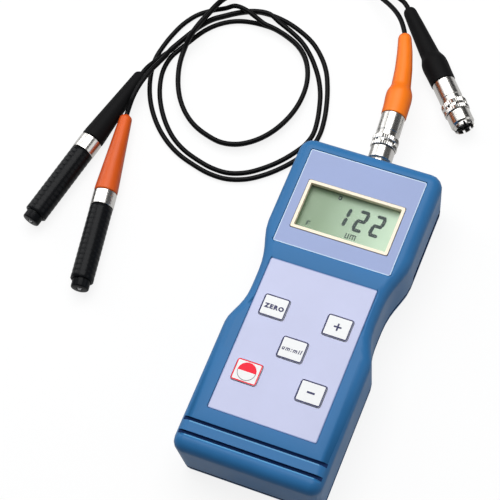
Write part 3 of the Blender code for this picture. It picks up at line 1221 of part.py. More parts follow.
def probe_sets():
    """Both probes with their plugs and cables, where they lie."""
    lean = 90.0 + PLUG_LEAN
    seat = Vector((0.0, SOCKET_FACE_Y, SOCKET_Z))
    along = Vector((math.cos(math.radians(lean)), math.sin(math.radians(lean)), 0.0))
    orange_plug = axis_frame(seat + along * (PLUG_SEAT_GAP - PLUG_COLLET_LENGTH), lean)
    black_plug = axis_frame((*BLACK_PLUG_NOSE, BLACK_PLUG_Z), BLACK_PLUG_HEADING)
    plug("orange", orange_plug)
    plug("black", black_plug)
    plug_boot("plug_boot_orange", orange_plug, ORANGE_BOOT_SWEEP, ORANGE)
    plug_boot("plug_boot_black", black_plug, 0.0, BLACK)
    orange_probe = axis_frame((*ORANGE_PROBE_NOSE, PROBE_REST), ORANGE_PROBE_HEADING)
    black_probe = axis_frame((*BLACK_PROBE_NOSE, PROBE_REST), BLACK_PROBE_HEADING)
    probe("orange", orange_probe, RUST_ORANGE)
    probe("black", black_probe, BLACK)
    boot_tip = Matrix.Translation((0.0, 0.0, PROBE_BOOT_END))
    black_route = (BLACK_START + LEAD_TOP + BLACK_OUTER_TURN + raised(INNER_TURN)
                   + raised(LEAVING) + BLACK_END)
    orange_route = (ORANGE_START + raised(LEAD_TOP) + ORANGE_OUTER_TURN + INNER_TURN + LEAVING
                    + ORANGE_END)
    cable("cable_black", black_route, black_probe @ boot_tip, plug_boot_tip(black_plug, 0.0))
    cable("cable_orange", orange_route, orange_probe @ boot_tip,
          plug_boot_tip(orange_plug, ORANGE_BOOT_SWEEP))


def main():
    clear_scene()
    front_cover()
    rear_cover()
    battery_cover()
    labels()
    display()
    keys()
    circuit_board()
    case_screws()
    batteries()
    battery_contacts()
    socket()
    probe_sets()


main()
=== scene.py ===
import json
import math

import bpy
from mathutils import Matrix, Vector

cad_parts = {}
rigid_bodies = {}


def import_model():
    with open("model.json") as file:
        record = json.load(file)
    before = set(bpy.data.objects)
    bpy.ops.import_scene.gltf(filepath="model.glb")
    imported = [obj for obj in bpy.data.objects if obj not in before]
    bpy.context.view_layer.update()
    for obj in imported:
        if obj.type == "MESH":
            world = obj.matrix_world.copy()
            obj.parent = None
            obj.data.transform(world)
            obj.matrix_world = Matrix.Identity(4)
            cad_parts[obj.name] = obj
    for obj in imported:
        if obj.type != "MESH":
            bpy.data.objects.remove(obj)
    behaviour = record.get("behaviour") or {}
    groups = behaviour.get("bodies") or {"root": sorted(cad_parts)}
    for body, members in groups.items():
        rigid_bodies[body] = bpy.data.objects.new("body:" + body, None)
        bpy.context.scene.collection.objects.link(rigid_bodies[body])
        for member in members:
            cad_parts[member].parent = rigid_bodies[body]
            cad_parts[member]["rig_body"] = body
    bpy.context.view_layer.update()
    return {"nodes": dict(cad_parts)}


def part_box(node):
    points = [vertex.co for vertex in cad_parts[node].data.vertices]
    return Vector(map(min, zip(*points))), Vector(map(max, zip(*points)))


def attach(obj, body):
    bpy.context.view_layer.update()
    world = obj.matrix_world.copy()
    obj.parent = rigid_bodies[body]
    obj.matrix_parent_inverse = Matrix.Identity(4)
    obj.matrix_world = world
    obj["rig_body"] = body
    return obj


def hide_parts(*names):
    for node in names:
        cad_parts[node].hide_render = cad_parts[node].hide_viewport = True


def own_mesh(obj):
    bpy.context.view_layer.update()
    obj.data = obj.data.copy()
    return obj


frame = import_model()

# Photograph's camera
CAMERA_PLACE = Vector((0.1823, -0.3019, 0.7992))
CAMERA_RIGHT = Vector((0.9223, 0.3711, -0.1078))
CAMERA_DOWN = Vector((0.2914, -0.8512, -0.4365))
CAMERA_AHEAD = Vector((-0.2537, 0.3712, -0.8932))
LENS = 138.14

# Sizes repeated from the part, in metres, and headings in degrees
# Painted shade: boxes where the shell is darkened in the seam's gap, the foot's two grooves and the
# side slot.
RECESS_SHADE_BOXES = (
    ((0.0, 0.1), (0.0, 0.1), (0.00465, 0.0008)),
    ((0.0, 0.1), (-0.0663, 0.0009), (0.0309, 0.0006)),
    ((0.0, 0.1), (-0.0727, 0.0009), (0.0309, 0.0006)),
    ((0.0319, 0.0007), (0.0559, 0.0197), (0.0088, 0.0038)),
)
# Painted highlight: bands on the lips below the foot's two grooves, lightened as if lit.
GROOVE_LIP_HIGHLIGHT_BOXES = (
    ((0.0, 0.03), (-0.0674, 0.0003), (0.0314, 0.0009)),
    ((0.0, 0.03), (-0.0738, 0.0003), (0.0314, 0.0009)),
)
# Painted shade: the bezel's inner wall, darkened.
BEZEL_WELL_BOXES = (
    ((0.0, 0.02145), (0.0466, 0.01075), (0.0295, 0.0024)),
)
DISPLAY_LABEL = ((0.0, 0.0497), (0.0279, 0.0245))
KEYPAD_LABEL = ((0.0, -0.02095), (0.02525, 0.03785))
KEY_TOP = 0.0323
KEY_WIDTH = 0.0118
KEY_HEIGHT = 0.0103
KEY_CORNER = 0.001
KEY_FLANGE = 0.001
KEY_FLANGE_BACK = 0.0283
KEY_FLANGE_TOP = 0.0293
KEY_PLACES = {
    "key_zero": (-0.01495, -0.0055),
    "key_plus": (0.01495, -0.0055),
    "key_unit": (0.0, -0.02185),
    "key_power": (-0.01495, -0.0382),
    "key_minus": (0.01495, -0.0382),
}
SOCKET_FACE = Vector((0.0, 0.084295, 0.016))
PLUG_LEAN = 94.5
PLUG_SEAT_GAP = 0.00075
COLLET_LENGTH = 0.0018
COLLET_RADIUS = 0.00495
COLLET_SLOTS = 4
COLLET_SLOT_WIDTH = 0.0011
NOSE_RADIUS = 0.00575
NOSE_END = 0.0084
RING_SEAT_RADIUS = 0.0054
RING_STOP = 0.0171
SHELL_RADIUS = 0.00565
SHELL_BORE = 0.00435
SHELL_TAIL_RADIUS = 0.0041
SHELL_TAIL_END = 0.0328
SHELL_BORE_END = 0.0125
SHELL_CABLE_BORE = 0.0015
RING_START = 0.0087
RING_LENGTH = 0.0065
RING_RADIUS = 0.0063
RING_BORE = 0.0057
RING_BAND = 0.0021
RING_GROOVE_DEPTH = 0.00042
RING_TEETH = 36
TOOTH_DEPTH = 0.0003
PLUG_BOOT_START = 0.0268
PLUG_BOOT_LENGTH = 0.0452
ORANGE_BOOT_SWEEP = 17.4
BLACK_PLUG_NOSE = (0.0297, 0.1197, 0.0064)
BLACK_PLUG_HEADING = 131.3
BLACK_PROBE_NOSE = (-0.1478, 0.0081, 0.0058)
BLACK_PROBE_HEADING = 78.4
ORANGE_PROBE_NOSE = (-0.1109, -0.0166, 0.0058)
ORANGE_PROBE_HEADING = 99.85
GRIP_START = 0.0042
GRIP_END = 0.0427
GRIP_RADIUS = 0.0055
GRIP_BORE = 0.0046
GRIP_BORE_END = 0.0236
GRIP_CABLE_BORE = 0.002
GRIP_GROOVES = 13
GRIP_GROOVE_PITCH = 0.0027
GRIP_GROOVE_DEPTH = 0.00011
BAND_START = 0.043
BAND_END = 0.0505
BAND_RADIUS = 0.00565
BAND_BORE = 0.00425
HEAD_RADIUS = 0.0043
HEAD_END = 0.016
TIP_SEAT_RADIUS = 0.0014
TIP_SEAT_DEPTH = 0.0025
PROBE_BOOT_START = 0.0508
PROBE_BOOT_END = 0.0934
BOOT_ROUNDING = 0.0012
EDGE = 0.0002

# Cables, whose routes are the part's chosen points in millimetres
CABLE_RADIUS = 0.0012
CABLE_LEAD = 0.0015
CABLE_RUN_IN = 0.024
CABLE_RUN_STEPS = 8
GAP = 0.0003
FLOOR = 1.25
RAISE = (0.8, -1.17, 2.82)
LEAD_TOP = [
    (-122.4, 118.8, FLOOR), (-119.9, 124.2, FLOOR), (-116.9, 130.2, FLOOR),
    (-113.8, 136.0, FLOOR), (-109.6, 141.3, FLOOR), (-104.2, 145.3, FLOOR),
    (-98.0, 149.3, FLOOR), (-91.0, 152.3, FLOOR), (-83.5, 153.0, FLOOR),
]
INNER_TURN = [
    (-78.3, 146.0, FLOOR), (-70.8, 143.8, FLOOR), (-63.7, 140.4, FLOOR),
    (-58.0, 135.4, FLOOR), (-54.0, 129.0, FLOOR), (-51.7, 121.8, FLOOR),
    (-51.0, 114.0, FLOOR), (-51.8, 106.2, FLOOR), (-54.2, 98.4, FLOOR),
    (-58.2, 90.9, FLOOR), (-64.0, 84.4, FLOOR), (-71.2, 79.9, FLOOR),
    (-79.0, 78.4, FLOOR), (-87.0, 79.9, FLOOR), (-94.6, 82.9, FLOOR),
    (-101.4, 87.8, FLOOR), (-106.9, 94.0, FLOOR), (-111.0, 101.0, FLOOR),
    (-113.9, 108.4, FLOOR), (-115.4, 114.6, 1.35),
]
LEAVING = [
    (-115.7, 119.8, 2.3), (-115.0, 125.4, 4.8), (-113.5, 130.8, 6.8), (-111.9, 136.3, 7.2),
    (-110.5, 141.6, 6.6), (-109.2, 146.6, 6.1), (-107.6, 151.8, 4.9), (-105.2, 157.0, 3.0),
]
BLACK_START = [
    (-127.9, 104.6, 5.2), (-126.4, 109.0, 3.9), (-124.6, 113.8, 2.4),
]
BLACK_OUTER_TURN = [
    (-74.5, 151.8, FLOOR), (-65.6, 148.8, FLOOR), (-57.0, 144.2, FLOOR),
    (-50.0, 137.8, FLOOR), (-45.0, 131.0, FLOOR), (-41.3, 123.0, FLOOR),
    (-38.5, 114.7, FLOOR), (-36.4, 106.0, FLOOR), (-35.5, 97.5, FLOOR),
    (-36.6, 90.0, FLOOR), (-40.2, 82.6, FLOOR), (-45.8, 75.3, FLOOR),
    (-52.4, 68.9, FLOOR), (-60.2, 63.7, FLOOR), (-69.0, 60.9, FLOOR),
    (-78.0, 60.9, FLOOR), (-87.0, 62.9, FLOOR), (-96.0, 66.0, FLOOR),
    (-103.6, 70.3, FLOOR), (-110.4, 75.8, FLOOR), (-116.2, 82.2, FLOOR),
    (-121.0, 89.3, FLOOR), (-124.6, 97.0, FLOOR), (-126.9, 104.8, FLOOR),
    (-127.8, 112.0, FLOOR), (-127.0, 119.2, FLOOR), (-125.2, 127.0, FLOOR),
    (-122.2, 135.0, FLOOR), (-117.6, 141.8, FLOOR), (-111.8, 146.4, FLOOR),
    (-105.4, 148.9, 2.7), (-99.6, 149.5, 6.7), (-93.8, 148.7, 7.3),
    (-88.2, 147.2, 5.8), (-83.0, 145.6, 4.5),
]
BLACK_END = [
    (-102.9, 162.0, 4.4), (-100.5, 168.8, 2.6), (-95.0, 175.8, 1.4), (-87.0, 182.4, FLOOR),
    (-77.5, 187.2, FLOOR), (-67.0, 190.0, FLOOR), (-56.5, 190.6, FLOOR),
    (-47.4, 188.8, FLOOR), (-40.0, 185.5, 1.8), (-34.2, 182.8, 3.1), (-29.2, 181.0, 4.6),
    (-24.9, 179.1, 5.6), (-21.4, 177.2, 6.2),
]
ORANGE_START = [
    (-127.2, 80.4, 7.0), (-127.0, 84.6, 8.6), (-126.6, 90.6, 9.1), (-125.6, 97.0, 8.9),
    (-124.4, 102.6, 8.1), (-123.1, 107.8, 6.9), (-122.1, 112.8, 5.4),
]
ORANGE_OUTER_TURN = [
    (-76.5, 149.6, 2.6), (-69.5, 147.0, 1.4), (-62.5, 143.2, FLOOR), (-56.4, 138.0, FLOOR),
    (-51.2, 132.0, FLOOR), (-46.8, 125.6, FLOOR), (-43.4, 118.7, FLOOR),
    (-41.0, 111.3, FLOOR), (-39.2, 103.5, FLOOR), (-38.6, 96.6, FLOOR),
    (-40.0, 90.4, FLOOR), (-43.4, 84.4, FLOOR), (-48.4, 77.8, FLOOR), (-54.6, 71.8, FLOOR),
    (-61.6, 66.9, FLOOR), (-69.6, 64.1, FLOOR), (-77.8, 64.1, FLOOR), (-86.0, 65.9, FLOOR),
    (-94.2, 68.8, FLOOR), (-101.4, 73.0, FLOOR), (-107.6, 78.6, FLOOR),
    (-112.9, 85.2, FLOOR), (-117.2, 92.4, FLOOR), (-120.2, 100.0, FLOOR),
    (-121.6, 107.6, FLOOR), (-120.9, 114.8, FLOOR), (-118.7, 120.0, FLOOR),
    (-116.2, 124.8, FLOOR), (-113.6, 129.8, FLOOR), (-110.6, 134.6, FLOOR),
    (-106.8, 138.8, FLOOR), (-102.2, 142.2, FLOOR), (-96.8, 144.7, FLOOR),
    (-91.0, 146.0, FLOOR), (-84.6, 146.4, FLOOR),
]
ORANGE_END = [
    (-101.2, 162.5, 1.5), (-95.9, 169.0, FLOOR), (-88.6, 175.6, FLOOR), (-79.4, 181.0, FLOOR),
    (-69.2, 184.8, FLOOR), (-58.6, 186.4, 1.4), (-50.8, 184.4, 2.8), (-43.6, 181.2, 5.0),
    (-36.8, 177.3, 7.5), (-30.8, 173.4, 10.1), (-25.4, 169.6, 12.4), (-21.0, 165.9, 14.2),
    (-17.5, 162.2, 15.3), (-14.9, 158.6, 15.9),
]

# Colours as linear values, and values of the finishes
SHELL_BLUE = (0.028, 0.152, 0.360)
DISPLAY_LILAC = (0.302, 0.365, 0.592)
KEYPAD_LILAC = (0.532, 0.556, 0.750)
BEZEL_CREAM = (0.880, 0.760, 0.590)
KEY_WHITE = (0.765, 0.775, 0.775)
NAVY = (0.035, 0.035, 0.110)
SIGNAL_RED = (0.850, 0.010, 0.035)
# Painted shade: the LCD's shaded and lit tones, blended across the panel.
LCD_SHADED_GREEN = (0.160, 0.274, 0.134)
LCD_LIT_GREEN = (0.525, 0.720, 0.525)
LCD_INK = (0.012, 0.034, 0.030)
RUBBER_BLACK = (0.0055, 0.0055, 0.006)
CABLE_BLACK = (0.0035, 0.0035, 0.004)
GRIP_BLACK = (0.006, 0.0065, 0.0075)
PLUG_ORANGE = (0.985, 0.222, 0.006)
PROBE_ORANGE = (0.710, 0.108, 0.009)
CHROME = (0.640, 0.625, 0.600)
STEEL = (0.420, 0.420, 0.430)
BOARD_GREEN = (0.020, 0.160, 0.070)
CELL_RED = (0.500, 0.040, 0.030)
HOLDER_GREY = (0.200, 0.200, 0.210)
# Painted shade for the case's recesses.
RECESS_SHADE_NAVY = (0.004, 0.021, 0.085)
# Painted highlight for the groove lips.
LIP_HIGHLIGHT_BLUE = (0.100, 0.310, 0.560)
WELL_SHADE = (0.020, 0.022, 0.016)
# Painted shade towards the rubber boots' glancing edges.
ORANGE_EDGE_SHADE = (0.480, 0.030, 0.003)
RUST_EDGE_SHADE = (0.380, 0.030, 0.008)
# Painted highlight along the display label's rim.
PALE_RIM_HIGHLIGHT = (0.60, 0.74, 0.90)
FLOOR_SEEN = (0.94, 0.94, 0.94)
FLOOR_BOUNCE = (0.42, 0.42, 0.42)
FLOOR_WHITE_SHARE = 0.86
FLOOR_MIRRORED_SHARE = 0.6
MASKED_DULLING = 0.45
LCD_SHADE_SPAN = (-0.013, 0.024)
LABEL_RIM_SPAN = (0.0003, 0.00045)


# Node groups shared by the materials
def new_group(name, takes, gives):
    """A node group with named sockets of the kinds given, and the values that it takes in."""
    group = bpy.data.node_groups.new(name, "ShaderNodeTree")
    for direction, sockets in (("INPUT", takes), ("OUTPUT", gives)):
        for title, kind in sockets.items():
            group.interface.new_socket(title, in_out=direction, socket_type=f"NodeSocket{kind}")
    return group, group.nodes.new("NodeGroupInput").outputs


def close_group(group, results):
    feed(group, group.nodes.new("NodeGroupOutput"), results)
    return group


def feed(tree, node, entries):
    """Link each entry of a node from the output given for it, or set it to the given value."""
    for entry, value in entries.items():
        if isinstance(value, bpy.types.NodeSocket):
            tree.links.new(value, node.inputs[entry])
        else:
            node.inputs[entry].default_value = value


def add_node(tree, kind, entries=None, **settings):
    node = tree.nodes.new(f"ShaderNode{kind}")
    for setting, value in settings.items():
        setattr(node, setting, value)
    feed(tree, node, entries or {})
    return node


def calculate(tree, operation, *entries, kind="Math"):
    """The result of a math or vector math node, from its entries in order."""
    return add_node(tree, kind, dict(enumerate(entries)), operation=operation).outputs[0]


def mixed_colour(tree, first, second, share):
    entries = {"A": first, "B": second, "Factor": share}
    return add_node(tree, "Mix", entries, data_type="RGBA").outputs[2]


def surface_group():
    """Moulded surface: mottled colour, uneven gloss and fine grain, from Object coordinates."""
    group, given = new_group("moulded_surface", {
        "Vector": "Vector", "Colour": "Color", "Mottle": "Float", "Roughness": "Float",
        "Gloss Variation": "Float", "Grain Scale": "Float", "Grain Depth": "Float",
    }, {"Colour": "Color", "Roughness": "Float", "Normal": "Vector"})
    clouds = add_node(group, "TexNoise", {"Vector": given["Vector"], "Scale": 42.0, "Detail": 4.0})
    shift = add_node(group, "MapRange", {
        "Value": clouds.outputs["Fac"], "From Min": 0.3, "From Max": 0.7, "To Min": -1.0,
    }).outputs["Result"]
    mottle = calculate(group, "MULTIPLY_ADD", shift, given["Mottle"], 1.0)
    tint = add_node(group, "VectorMath", {0: given["Colour"], "Scale": mottle}, operation="SCALE")
    gloss = calculate(group, "MULTIPLY_ADD", shift, given["Gloss Variation"], given["Roughness"])
    grain = add_node(group, "TexNoise", {"Vector": given["Vector"], "Scale": given["Grain Scale"],
                                         "Detail": 2.0})
    bump = add_node(group, "Bump", {"Strength": 0.6, "Distance": given["Grain Depth"],
                                    "Height": grain.outputs["Fac"]})
    return close_group(group, {"Colour": tint.outputs["Vector"], "Roughness": gloss,
                               "Normal": bump.outputs["Normal"]})


def handling_group():
    """Handling marks: a mask of short hair scratches and rubbed patches."""
    group, given = new_group("handling_marks", {"Vector": "Vector", "Amount": "Float"},
                             {"Mask": "Float"})
    stretch = calculate(group, "MULTIPLY", given["Vector"], (160.0, 1400.0, 500.0),
                        kind="VectorMath")
    hairs = add_node(group, "TexNoise", {"Vector": stretch, "Scale": 1.0, "Detail": 3.0})
    patches = add_node(group, "TexNoise", {"Vector": given["Vector"], "Scale": 90.0})
    shares = [add_node(group, "MapRange", {
        "Value": noise.outputs["Fac"], "From Min": low, "From Max": high,
    }).outputs["Result"] for noise, low, high in ((hairs, 0.62, 0.72), (patches, 0.45, 0.75))]
    both = calculate(group, "MULTIPLY", *shares)
    return close_group(group, {"Mask": calculate(group, "MULTIPLY", both, given["Amount"])})


def box_group(name, boxes):
    """Mask of boxes, each given by a middle and a reach in |X|, Y and Z."""
    group, given = new_group(name, {"Vector": "Vector"}, {"Mask": "Float"})
    split = add_node(group, "SeparateXYZ", {"Vector": given["Vector"]}).outputs
    place = (calculate(group, "ABSOLUTE", split["X"]), split["Y"], split["Z"])
    mask = 0.0
    for box in boxes:
        inside = 1.0
        for value, (middle, reach) in zip(place, box):
            near = calculate(group, "COMPARE", value, middle, reach)
            inside = calculate(group, "MULTIPLY", inside, near)
        mask = calculate(group, "MAXIMUM", mask, inside)
    return close_group(group, {"Mask": mask})


def edge_group():
    """Mask of a flat label's rim, from its centre and its half size."""
    group, given = new_group("label_rim", {
        "Vector": "Vector", "Centre": "Vector", "Half Size": "Vector",
    }, {"Mask": "Float"})
    offset = calculate(group, "SUBTRACT", given["Vector"], given["Centre"], kind="VectorMath")
    reach = calculate(group, "ABSOLUTE", offset, kind="VectorMath")
    over = calculate(group, "SUBTRACT", reach, given["Half Size"], kind="VectorMath")
    split = add_node(group, "SeparateXYZ", {"Vector": over}).outputs
    outer, inner = LABEL_RIM_SPAN
    rim = add_node(group, "MapRange", {
        "Value": calculate(group, "MAXIMUM", split["X"], split["Y"]),
        "From Min": -inner, "From Max": -outer,
    })
    return close_group(group, {"Mask": rim.outputs["Result"]})


SURFACE = surface_group()
HANDLING = handling_group()
# Masks of painted shade in the recesses and the bezel's well, and of a painted highlight on the
# groove lips.
RECESS_SHADE_MASK = box_group("case_recess_shade", RECESS_SHADE_BOXES)
GROOVE_LIP_HIGHLIGHTS = box_group("groove_lip_highlights", GROOVE_LIP_HIGHLIGHT_BOXES)
BEZEL_WELL = box_group("bezel_well", BEZEL_WELL_BOXES)
LABEL_RIM = edge_group()


# Materials
def start_material(name, metallic=0.0):
    material = bpy.data.materials.new(name)
    material.use_nodes = True
    shader = material.node_tree.nodes["Principled BSDF"]
    shader.inputs["Metallic"].default_value = metallic
    return material, material.node_tree, shader


def surface_on(tree, shader, entries):
    """Place the moulded surface with its values and lead it to the shader."""
    place = add_node(tree, "TexCoord").outputs["Object"]
    surface = add_node(tree, "Group", {"Vector": place, **entries}, node_tree=SURFACE)
    feed(tree, shader, {"Base Color": surface.outputs["Colour"],
                        "Roughness": surface.outputs["Roughness"],
                        "Normal": surface.outputs["Normal"]})
    return place, surface


def masked_colour(tree, place, colour, masks):
    """A colour that changes where mask groups' results are one, and the first mask itself."""
    tint = (*colour, 1.0)
    found = []
    for mask_group, other, settings in masks:
        mask = add_node(tree, "Group", {"Vector": place, **settings}, node_tree=mask_group)
        found.append(mask.outputs["Mask"])
        tint = mixed_colour(tree, tint, (*other, 1.0), found[-1])
    return tint, found[0]


def moulded(name, colour, roughness, mottle=0.04, grain=0.00002, grain_scale=1400.0,
            metallic=0.0, gloss_variation=0.05, marks=0.0, shine=0.5, masks=(), rim=None):
    """A moulded or plated finish from the shared groups, with masked areas of painted shade and
    painted highlight, and painted shade towards glancing edges where a rim colour is given.
    """
    material, tree, shader = start_material(name, metallic)
    shader.inputs["Specular IOR Level"].default_value = shine
    place, surface = surface_on(tree, shader, {
        "Colour": (*colour, 1.0), "Mottle": mottle, "Roughness": roughness,
        "Gloss Variation": gloss_variation, "Grain Scale": grain_scale, "Grain Depth": grain,
    })
    gloss = surface.outputs["Roughness"]
    if masks:
        tint, mask = masked_colour(tree, place, colour, masks)
        feed(tree, surface, {"Colour": tint})
        gloss = calculate(tree, "MULTIPLY_ADD", mask, MASKED_DULLING, gloss)
    if rim:
        # Painted shade: the colour darkens towards edges seen at a glancing angle.
        turning = add_node(tree, "LayerWeight", {"Blend": 0.3}).outputs["Facing"]
        edge_shaded = mixed_colour(tree, surface.outputs["Colour"], (*rim, 1.0), turning)
        feed(tree, shader, {"Base Color": edge_shaded})
    if marks:
        handled = add_node(tree, "Group", {"Vector": place, "Amount": marks}, node_tree=HANDLING)
        gloss = add_node(tree, "Math", {0: gloss, 1: handled.outputs["Mask"]}, operation="ADD",
                         use_clamp=True).outputs["Value"]
    feed(tree, shader, {"Roughness": gloss})
    return material


def lcd_material():
    """Reflective LCD: grey-green with painted shade that lightens across the panel, with a faint
    grain.
    """
    material, tree, shader = start_material("lcd_glass")
    place, surface = surface_on(tree, shader, {
        "Mottle": 0.025, "Roughness": 0.3, "Gloss Variation": 0.06, "Grain Scale": 2600.0,
        "Grain Depth": 0.000006,
    })
    split = add_node(tree, "SeparateXYZ", {"Vector": place})
    across = add_node(tree, "MapRange", {
        "Value": split.outputs["X"], "From Min": LCD_SHADE_SPAN[0], "From Max": LCD_SHADE_SPAN[1],
    })
    tint = mixed_colour(tree, (*LCD_SHADED_GREEN, 1.0), (*LCD_LIT_GREEN, 1.0), across.outputs["Result"])
    feed(tree, surface, {"Colour": tint})
    return material


def window_material():
    """Clear window: mostly see-through, with a faint sheen and a few marks."""
    material, tree, shader = start_material("clear_window")
    place = add_node(tree, "TexCoord").outputs["Object"]
    handled = add_node(tree, "Group", {"Vector": place, "Amount": 0.2}, node_tree=HANDLING)
    haze = calculate(tree, "ADD", handled.outputs["Mask"], 0.06)
    feed(tree, shader, {"Base Color": (0.55, 0.58, 0.56, 1.0), "IOR": 1.45, "Alpha": 0.05,
                        "Roughness": haze})
    return material


def label_rim(label, colour):
    """The rim mask of a label, its colour and its settings."""
    centre, half = label
    return LABEL_RIM, colour, {"Centre": (*centre, 0.0), "Half Size": (*half, 0.0)}


MATERIALS = {
    # The shell: painted shade in its recesses and a painted highlight on its groove lips.
    "shell": moulded("satin_blue_shell", SHELL_BLUE, 0.42, 0.05, 0.000012, 1700.0, marks=0.12,
                     shine=0.18, masks=[(RECESS_SHADE_MASK, RECESS_SHADE_NAVY, {}), (GROOVE_LIP_HIGHLIGHTS, LIP_HIGHLIGHT_BLUE, {})]),
    # Painted highlight along the display label's rim, and painted shade along the keypad label's
    # rim.
    "display_label": moulded("display_overlay", DISPLAY_LILAC, 0.42, 0.03, 0.000005, 2600.0,
                             shine=0.2, masks=[label_rim(DISPLAY_LABEL, PALE_RIM_HIGHLIGHT)]),
    "keypad_label": moulded("keypad_overlay", KEYPAD_LILAC, 0.42, 0.03, 0.000005, 2600.0,
                            shine=0.2, masks=[label_rim(KEYPAD_LABEL, DISPLAY_LILAC)]),
    # The bezel's well gets painted shade.
    "bezel": moulded("cream_bezel", BEZEL_CREAM, 0.38, 0.04, 0.000008,
                     masks=[(BEZEL_WELL, WELL_SHADE, {})]),
    "key": moulded("white_key_cap", KEY_WHITE, 0.4, 0.02, 0.000006, 900.0),
    "navy": moulded("navy_print", NAVY, 0.5, 0.05, 0.000004, shine=0.2),
    "red": moulded("red_print", SIGNAL_RED, 0.5, 0.04, 0.000004, shine=0.2),
    "ink": moulded("lcd_segment", LCD_INK, 0.5, 0.04, 0.000003, shine=0.1),
    "lcd": lcd_material(),
    "window": window_material(),
    "rubber": moulded("black_rubber", RUBBER_BLACK, 0.6, 0.12, 0.00002, 1100.0, shine=0.08),
    "cable": moulded("cable_jacket", CABLE_BLACK, 0.36, 0.1, 0.000008, 1500.0, shine=0.09),
    "grip": moulded("black_grip", GRIP_BLACK, 0.3, 0.1, 0.000004, 1300.0, shine=0.1),
    # The rubber boots darken towards their edges as painted shade.
    "orange": moulded("orange_rubber", PLUG_ORANGE, 0.42, 0.05, 0.00001, 1100.0, shine=0.3,
                      rim=ORANGE_EDGE_SHADE),
    "rust": moulded("rust_orange_rubber", PROBE_ORANGE, 0.42, 0.07, 0.00001, 900.0, shine=0.3,
                    rim=RUST_EDGE_SHADE),
    "chrome": moulded("bright_chrome", CHROME, 0.25, 0.03, 0.0000004, 2200.0, 1.0, 0.03, 0.1),
    "steel": moulded("plated_steel", STEEL, 0.32, 0.06, 0.000006, 1800.0, 1.0),
    "board": moulded("board_laminate", BOARD_GREEN, 0.4, 0.1, 0.00001, 900.0),
    "grey": moulded("grey_plastic", HOLDER_GREY, 0.5),
    "cell": moulded("battery_sleeve", CELL_RED, 0.3, 0.05, 0.000004),
    "black_plastic": moulded("black_insert", GRIP_BLACK, 0.45, 0.1, shine=0.3),
}


# Shaping helpers
def deselect():
    if bpy.context.object and bpy.context.object.mode != "OBJECT":
        bpy.ops.object.mode_set(mode="OBJECT")
    bpy.ops.object.select_all(action="DESELECT")


def edit(select_mode="FACE"):
    bpy.ops.object.mode_set(mode="EDIT")
    bpy.ops.mesh.select_mode(type=select_mode)


def pick(piece):
    """Leave one piece selected and active, in object mode."""
    deselect()
    piece.select_set(True)
    bpy.context.view_layer.objects.active = piece


def settle(piece, place=None):
    """Bake a finished piece's place into its mesh."""
    pick(piece)
    if place is not None:
        piece.matrix_world = place @ piece.matrix_world
    bpy.ops.object.transform_apply(location=True, rotation=True, scale=True)
    return piece


def apply_modifiers(piece):
    pick(piece)
    for modifier in list(piece.modifiers):
        bpy.ops.object.modifier_apply(modifier=modifier.name)


def smooth(piece, angle):
    pick(piece)
    bpy.ops.object.shade_smooth_by_angle(angle=math.radians(angle))


def dress(piece, body, *materials):
    """Give a piece its materials and let it ride on its body."""
    for name in materials:
        piece.data.materials.append(MATERIALS[name])
    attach(piece, body)
    return piece


def finished(piece, node, angle, place, body, *materials):
    """Shade, settle and dress a remodelled piece that stands for a CAD node."""
    smooth(piece, angle)
    settle(piece, place)
    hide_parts(node)
    return dress(piece, body, *materials)


def lifted(height):
    return Matrix.Translation((0.0, 0.0, height))


def axis_frame(origin, heading):
    """Local Z along a level heading in degrees, local Y up."""
    angle = math.radians(heading)
    along = Vector((math.cos(angle), math.sin(angle), 0.0))
    up = Vector((0.0, 0.0, 1.0))
    turn = Matrix((up.cross(along), up, along)).transposed().to_4x4()
    return Matrix.Translation(origin) @ turn


def turned(name, profile, sides, through=False, sweep=0.0):
    """Extrude a circle ring by ring through (radius, height) pairs about the Z axis.

    With a sweep in radians the rings follow an arc that bends towards +X.
    """
    deselect()
    radius, height = profile[0]
    fill = "NOTHING" if through else "NGON"
    bpy.ops.mesh.primitive_circle_add(vertices=sides, radius=radius, fill_type=fill,
                                      location=(0.0, 0.0, height))
    piece = bpy.context.object
    piece.name = name
    bpy.ops.object.transform_apply(location=True, rotation=False, scale=False)
    edit("EDGE" if through else "FACE")
    bpy.ops.mesh.select_all(action="SELECT")
    centre = bend_frame(height, sweep).translation
    for next_radius, next_height in profile[1:]:
        next_centre = bend_frame(next_height, sweep).translation
        bpy.ops.mesh.extrude_region_move(TRANSFORM_OT_translate={"value": next_centre - centre})
        factor = next_radius / radius
        bpy.ops.transform.resize(value=(factor, factor, factor), center_override=next_centre)
        if sweep and next_height != height:
            turn = sweep * (next_height - height) / PLUG_BOOT_LENGTH
            bpy.ops.transform.rotate(value=-turn, orient_axis="Y", center_override=next_centre)
        radius, height, centre = next_radius, next_height, next_centre
    bpy.ops.mesh.select_all(action="SELECT")
    bpy.ops.mesh.remove_doubles(threshold=0.000002)
    bpy.ops.mesh.normals_make_consistent(inside=False)
    bpy.ops.object.mode_set(mode="OBJECT")
    return piece


def select_parts(piece, kind, wanted):
    """Select only the vertices, edges or faces that pass a test, and stay in edit mode."""
    pick(piece)
    edit(kind)
    bpy.ops.mesh.select_all(action="DESELECT")
    bpy.ops.object.mode_set(mode="OBJECT")
    mesh = piece.data
    items = {"VERT": mesh.vertices, "EDGE": mesh.edges, "FACE": mesh.polygons}[kind]
    for item in items:
        item.select = wanted(item)
    edit(kind)


